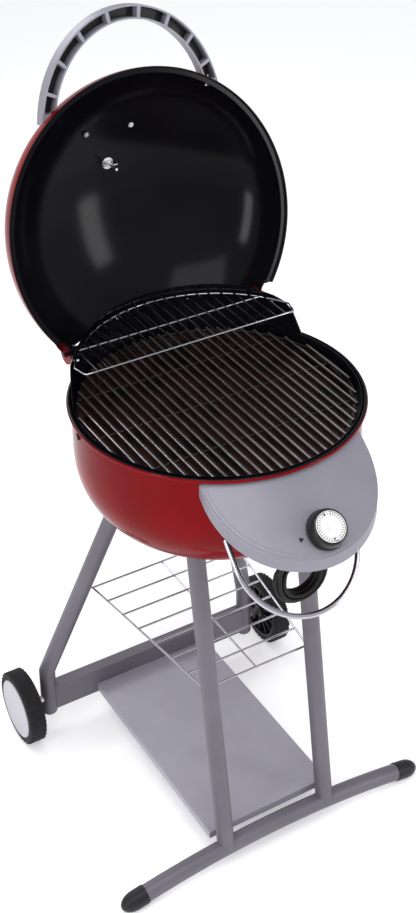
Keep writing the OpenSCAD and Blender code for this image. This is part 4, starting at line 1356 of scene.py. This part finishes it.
@dataclass
class Wheel:
    """One wheel: a revolved tyre with moulded lugs, a hub and a smooth cap."""

    bench: Bench
    side: Side
    lugs: TreadLugs
    radius: float = 0.074
    wall: float = 0.015
    inner_x: float = 0.2685
    outer_x: float = 0.3035
    axle: tuple[float, float] = (0.278, 0.074)
    proud: float = 0.0008

    def tyre(self) -> None:
        """Tyre with rounded shoulders and lugs over its crown and shoulders."""
        width, skin = self.outer_x - self.inner_x, self.radius - self.proud
        shoulder = 0.006
        bead = skin - self.wall
        outline = [(bead + self.proud, -width / 2 + 0.001), (bead + 0.004, -width / 2)]
        outline += [
            (skin - shoulder + shoulder * math.sin(a), -width / 2 + shoulder - shoulder * math.cos(a))
            for a in (math.radians(d) for d in range(0, 91, 15))
        ]
        outline += [
            (skin - shoulder + shoulder * math.cos(a), width / 2 - shoulder + shoulder * math.sin(a))
            for a in (math.radians(d) for d in range(0, 91, 15))
        ]
        outline += [(bead + 0.004, width / 2), (bead + self.proud, width / 2 - 0.001)]
        bm = Shape.revolve(outline, 96)
        middle = (self.inner_x + self.outer_x) / 2 * self.side.value
        turn = Matrix.Translation((middle, *self.axle)) @ Matrix.Rotation(math.pi / 2, 4, "Y")
        bmesh.ops.transform(bm, matrix=turn, verts=bm.verts)
        name = f"tire_{self.side.name.lower()}"
        tread = self.lugs.make(
            "lugs",
            Count=36,
            Rows=5,
            Radius=skin,
            Height=self.proud,
            Width=width * 0.92,
            Middle=middle,
            Axle_Y=self.axle[0],
            Axle_Z=self.axle[1],
        )
        bm.from_mesh(tread.data)
        bpy.data.objects.remove(tread)
        piece = Shape.obj(f"{name}.look", bm, [self.bench.palette["tyre"]], 30)
        self.bench.hand_in(piece, f"wheel_{self.side.name.lower()}", "tyre", name)

    def build(self) -> None:
        """Builds the wheel's pieces."""
        side = self.side.name.lower()
        self.tyre()
        self.bench.refine(f"wheel_hub_{side}", "black_plastic", 0.0006)
        self.bench.refine(f"hub_cap_{side}", "cap_grey", 0.0010)


@dataclass
class Cart:
    """Tubes, crossbar, shelves and wheels that the kettle stands on."""

    bench: Bench

    def shelf(self) -> None:
        """Wire shelf: rungs on two rails with one long wire under them."""
        palette = self.bench.palette
        low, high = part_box("wire_shelf")
        r, z = 0.002, high.z - 0.002
        front, back = low.y + r + 0.001, high.y - r - 0.001
        front_half, back_half = 0.108, high.x - 0.0005
        rungs = LadderRods(palette["chrome_wire"]).make(
            "rungs",
            Count=8,
            Front_Half=front_half + 0.0005,
            Back_Half=back_half,
            Front=front,
            Back=back,
            Height=z,
            Rod=r,
        )
        bm = bmesh.new()
        bm.from_mesh(rungs.data)
        bpy.data.objects.remove(rungs)
        for side in Side:
            ends = [(side.value * front_half, front, z), (side.value * (back_half - r), back, z)]
            Shape.tube(bm, ends, r, 10)
        Shape.tube(bm, [(0, front, z - r * 1.4), (0, back, z - r * 1.4)], r, 10)
        piece = Shape.obj("wire_shelf.look", bm, [palette["chrome_wire"]], 60)
        self.bench.hand_in(piece, "root", "chrome_wire", "wire_shelf")

    def build(self) -> None:
        """Builds the cart's pieces."""
        self.shelf()
        for node, slot, soften in (
            ("foot_bar", "leg_paint", 0.0004),
            ("foot_caps", "black_plastic", 0.0010),
            ("front_leg_left", "leg_paint", 0.0),
            ("front_leg_right", "leg_paint", 0.0),
            ("rear_leg_left", "leg_paint", 0.0),
            ("rear_leg_right", "leg_paint", 0.0),
            ("rear_leg_plugs", "leg_paint", 0.0),
            ("rear_crossbar", "leg_paint", 0.0015),
            ("leg_top_plugs", "black_plastic", 0.0),
            ("leg_bolts", "zinc", 0.0003),
            ("lower_shelf", "shelf_paint", 0.0010),
            ("shelf_screws", "zinc", 0.0003),
            ("axle_bolt_left", "zinc", 0.0003),
            ("axle_bolt_right", "zinc", 0.0003),
        ):
            self.bench.refine(node, slot, soften)
        lugs = TreadLugs(self.bench.palette["tyre"])
        for side in Side:
            Wheel(self.bench, side, lugs).build()


# ---- studio ----


@dataclass
class Studio:
    """Camera, floor and soft light."""

    eye: Point = (-1.1095, -1.8485, 2.2516)
    target: Point = (-0.0163, 0.0, 1.0563)
    roll: float = -0.4
    lens: float = 59.64
    shift_y: float = -0.1714

    def camera(self) -> None:
        """Stands the camera and makes it the scene's."""
        data = bpy.data.cameras.new("camera")
        data.lens = self.lens
        data.sensor_width = 36.0
        data.shift_y = self.shift_y
        data.clip_end = 50.0
        camera = bpy.data.objects.new("camera", data)
        look = (Vector(self.target) - Vector(self.eye)).to_track_quat("-Z", "Y")
        turn = look.to_matrix().to_4x4() @ Matrix.Rotation(math.radians(self.roll), 4, "Z")
        camera.matrix_world = Matrix.Translation(self.eye) @ turn
        bpy.context.scene.collection.objects.link(camera)
        bpy.context.scene.camera = camera

    def lamp(self, name: str, at: Point, to: Point, size: tuple[float, float], power: float) -> None:
        """Stands a soft box.

        Args:
            name: its name.
            at: its place.
            to: what it faces.
            size: its width and height.
            power: its power in watts.
        """
        data = bpy.data.lights.new(name, "AREA")
        data.shape = "RECTANGLE"
        data.size, data.size_y = size
        data.energy = power
        light = bpy.data.objects.new(name, data)
        turn = (Vector(to) - Vector(at)).to_track_quat("-Z", "Y").to_matrix().to_4x4()
        light.matrix_world = Matrix.Translation(at) @ turn
        bpy.context.scene.collection.objects.link(light)

    def floor(self) -> None:
        """Lays a pale floor with a faint cloud in it."""
        paint = Paint("floor")
        colour = paint.mix(paint.noise(0.7, 2.0), (0.93, 0.93, 0.935), (0.95, 0.95, 0.95))
        material = paint.done(
            Base_Color=colour,
            Roughness=0.6 + paint.noise(3.0) * 0.05,
            Emission_Color=(1.0, 1.0, 1.0, 1.0),
            Emission_Strength=0.26,
        )
        bm = bmesh.new()
        bmesh.ops.create_grid(bm, x_segments=1, y_segments=1, size=9.0)
        floor = Shape.obj("floor", bm, [material])
        floor.data.transform(Matrix.Translation((0, 0, -0.0002)))

    def build(self) -> None:
        """Builds the studio."""
        world = bpy.data.worlds.new("studio")
        world.use_nodes = True
        background = world.node_tree.nodes["Background"]
        background.inputs["Color"].default_value = (0.96, 0.97, 1.0, 1.0)
        background.inputs["Strength"].default_value = 0.70
        bpy.context.scene.world = world
        bpy.context.scene.view_settings.view_transform = "Standard"
        self.camera()
        self.floor()
        self.lamp("key", (-0.6, -1.2, 3.6), (0, 0, 0.8), (2.2, 2.2), 42)
        self.lamp("left", (-2.6, -0.9, 1.6), (0, 0, 0.8), (0.5, 1.6), 22)
        self.lamp("right", (1.7, -2.1, 1.3), (0, 0, 0.8), (0.5, 1.4), 16)
        self.lamp("back", (-0.6, 2.6, 2.4), (0, 0, 0.9), (2.2, 0.8), 26)


def main() -> None:
    """Builds the studio and every sub-assembly, and reports the pieces."""
    logging.basicConfig(level=logging.INFO, format="%(name)s: %(message)s")
    Studio().build()
    bench = Bench(Palette())
    for group in (Cord(bench), Kettle(bench), Lid(bench), Console(bench), Cart(bench)):
        group.build()
    log.info("%d pieces in all", bench.count)


if __name__ == "__main__":
    main()
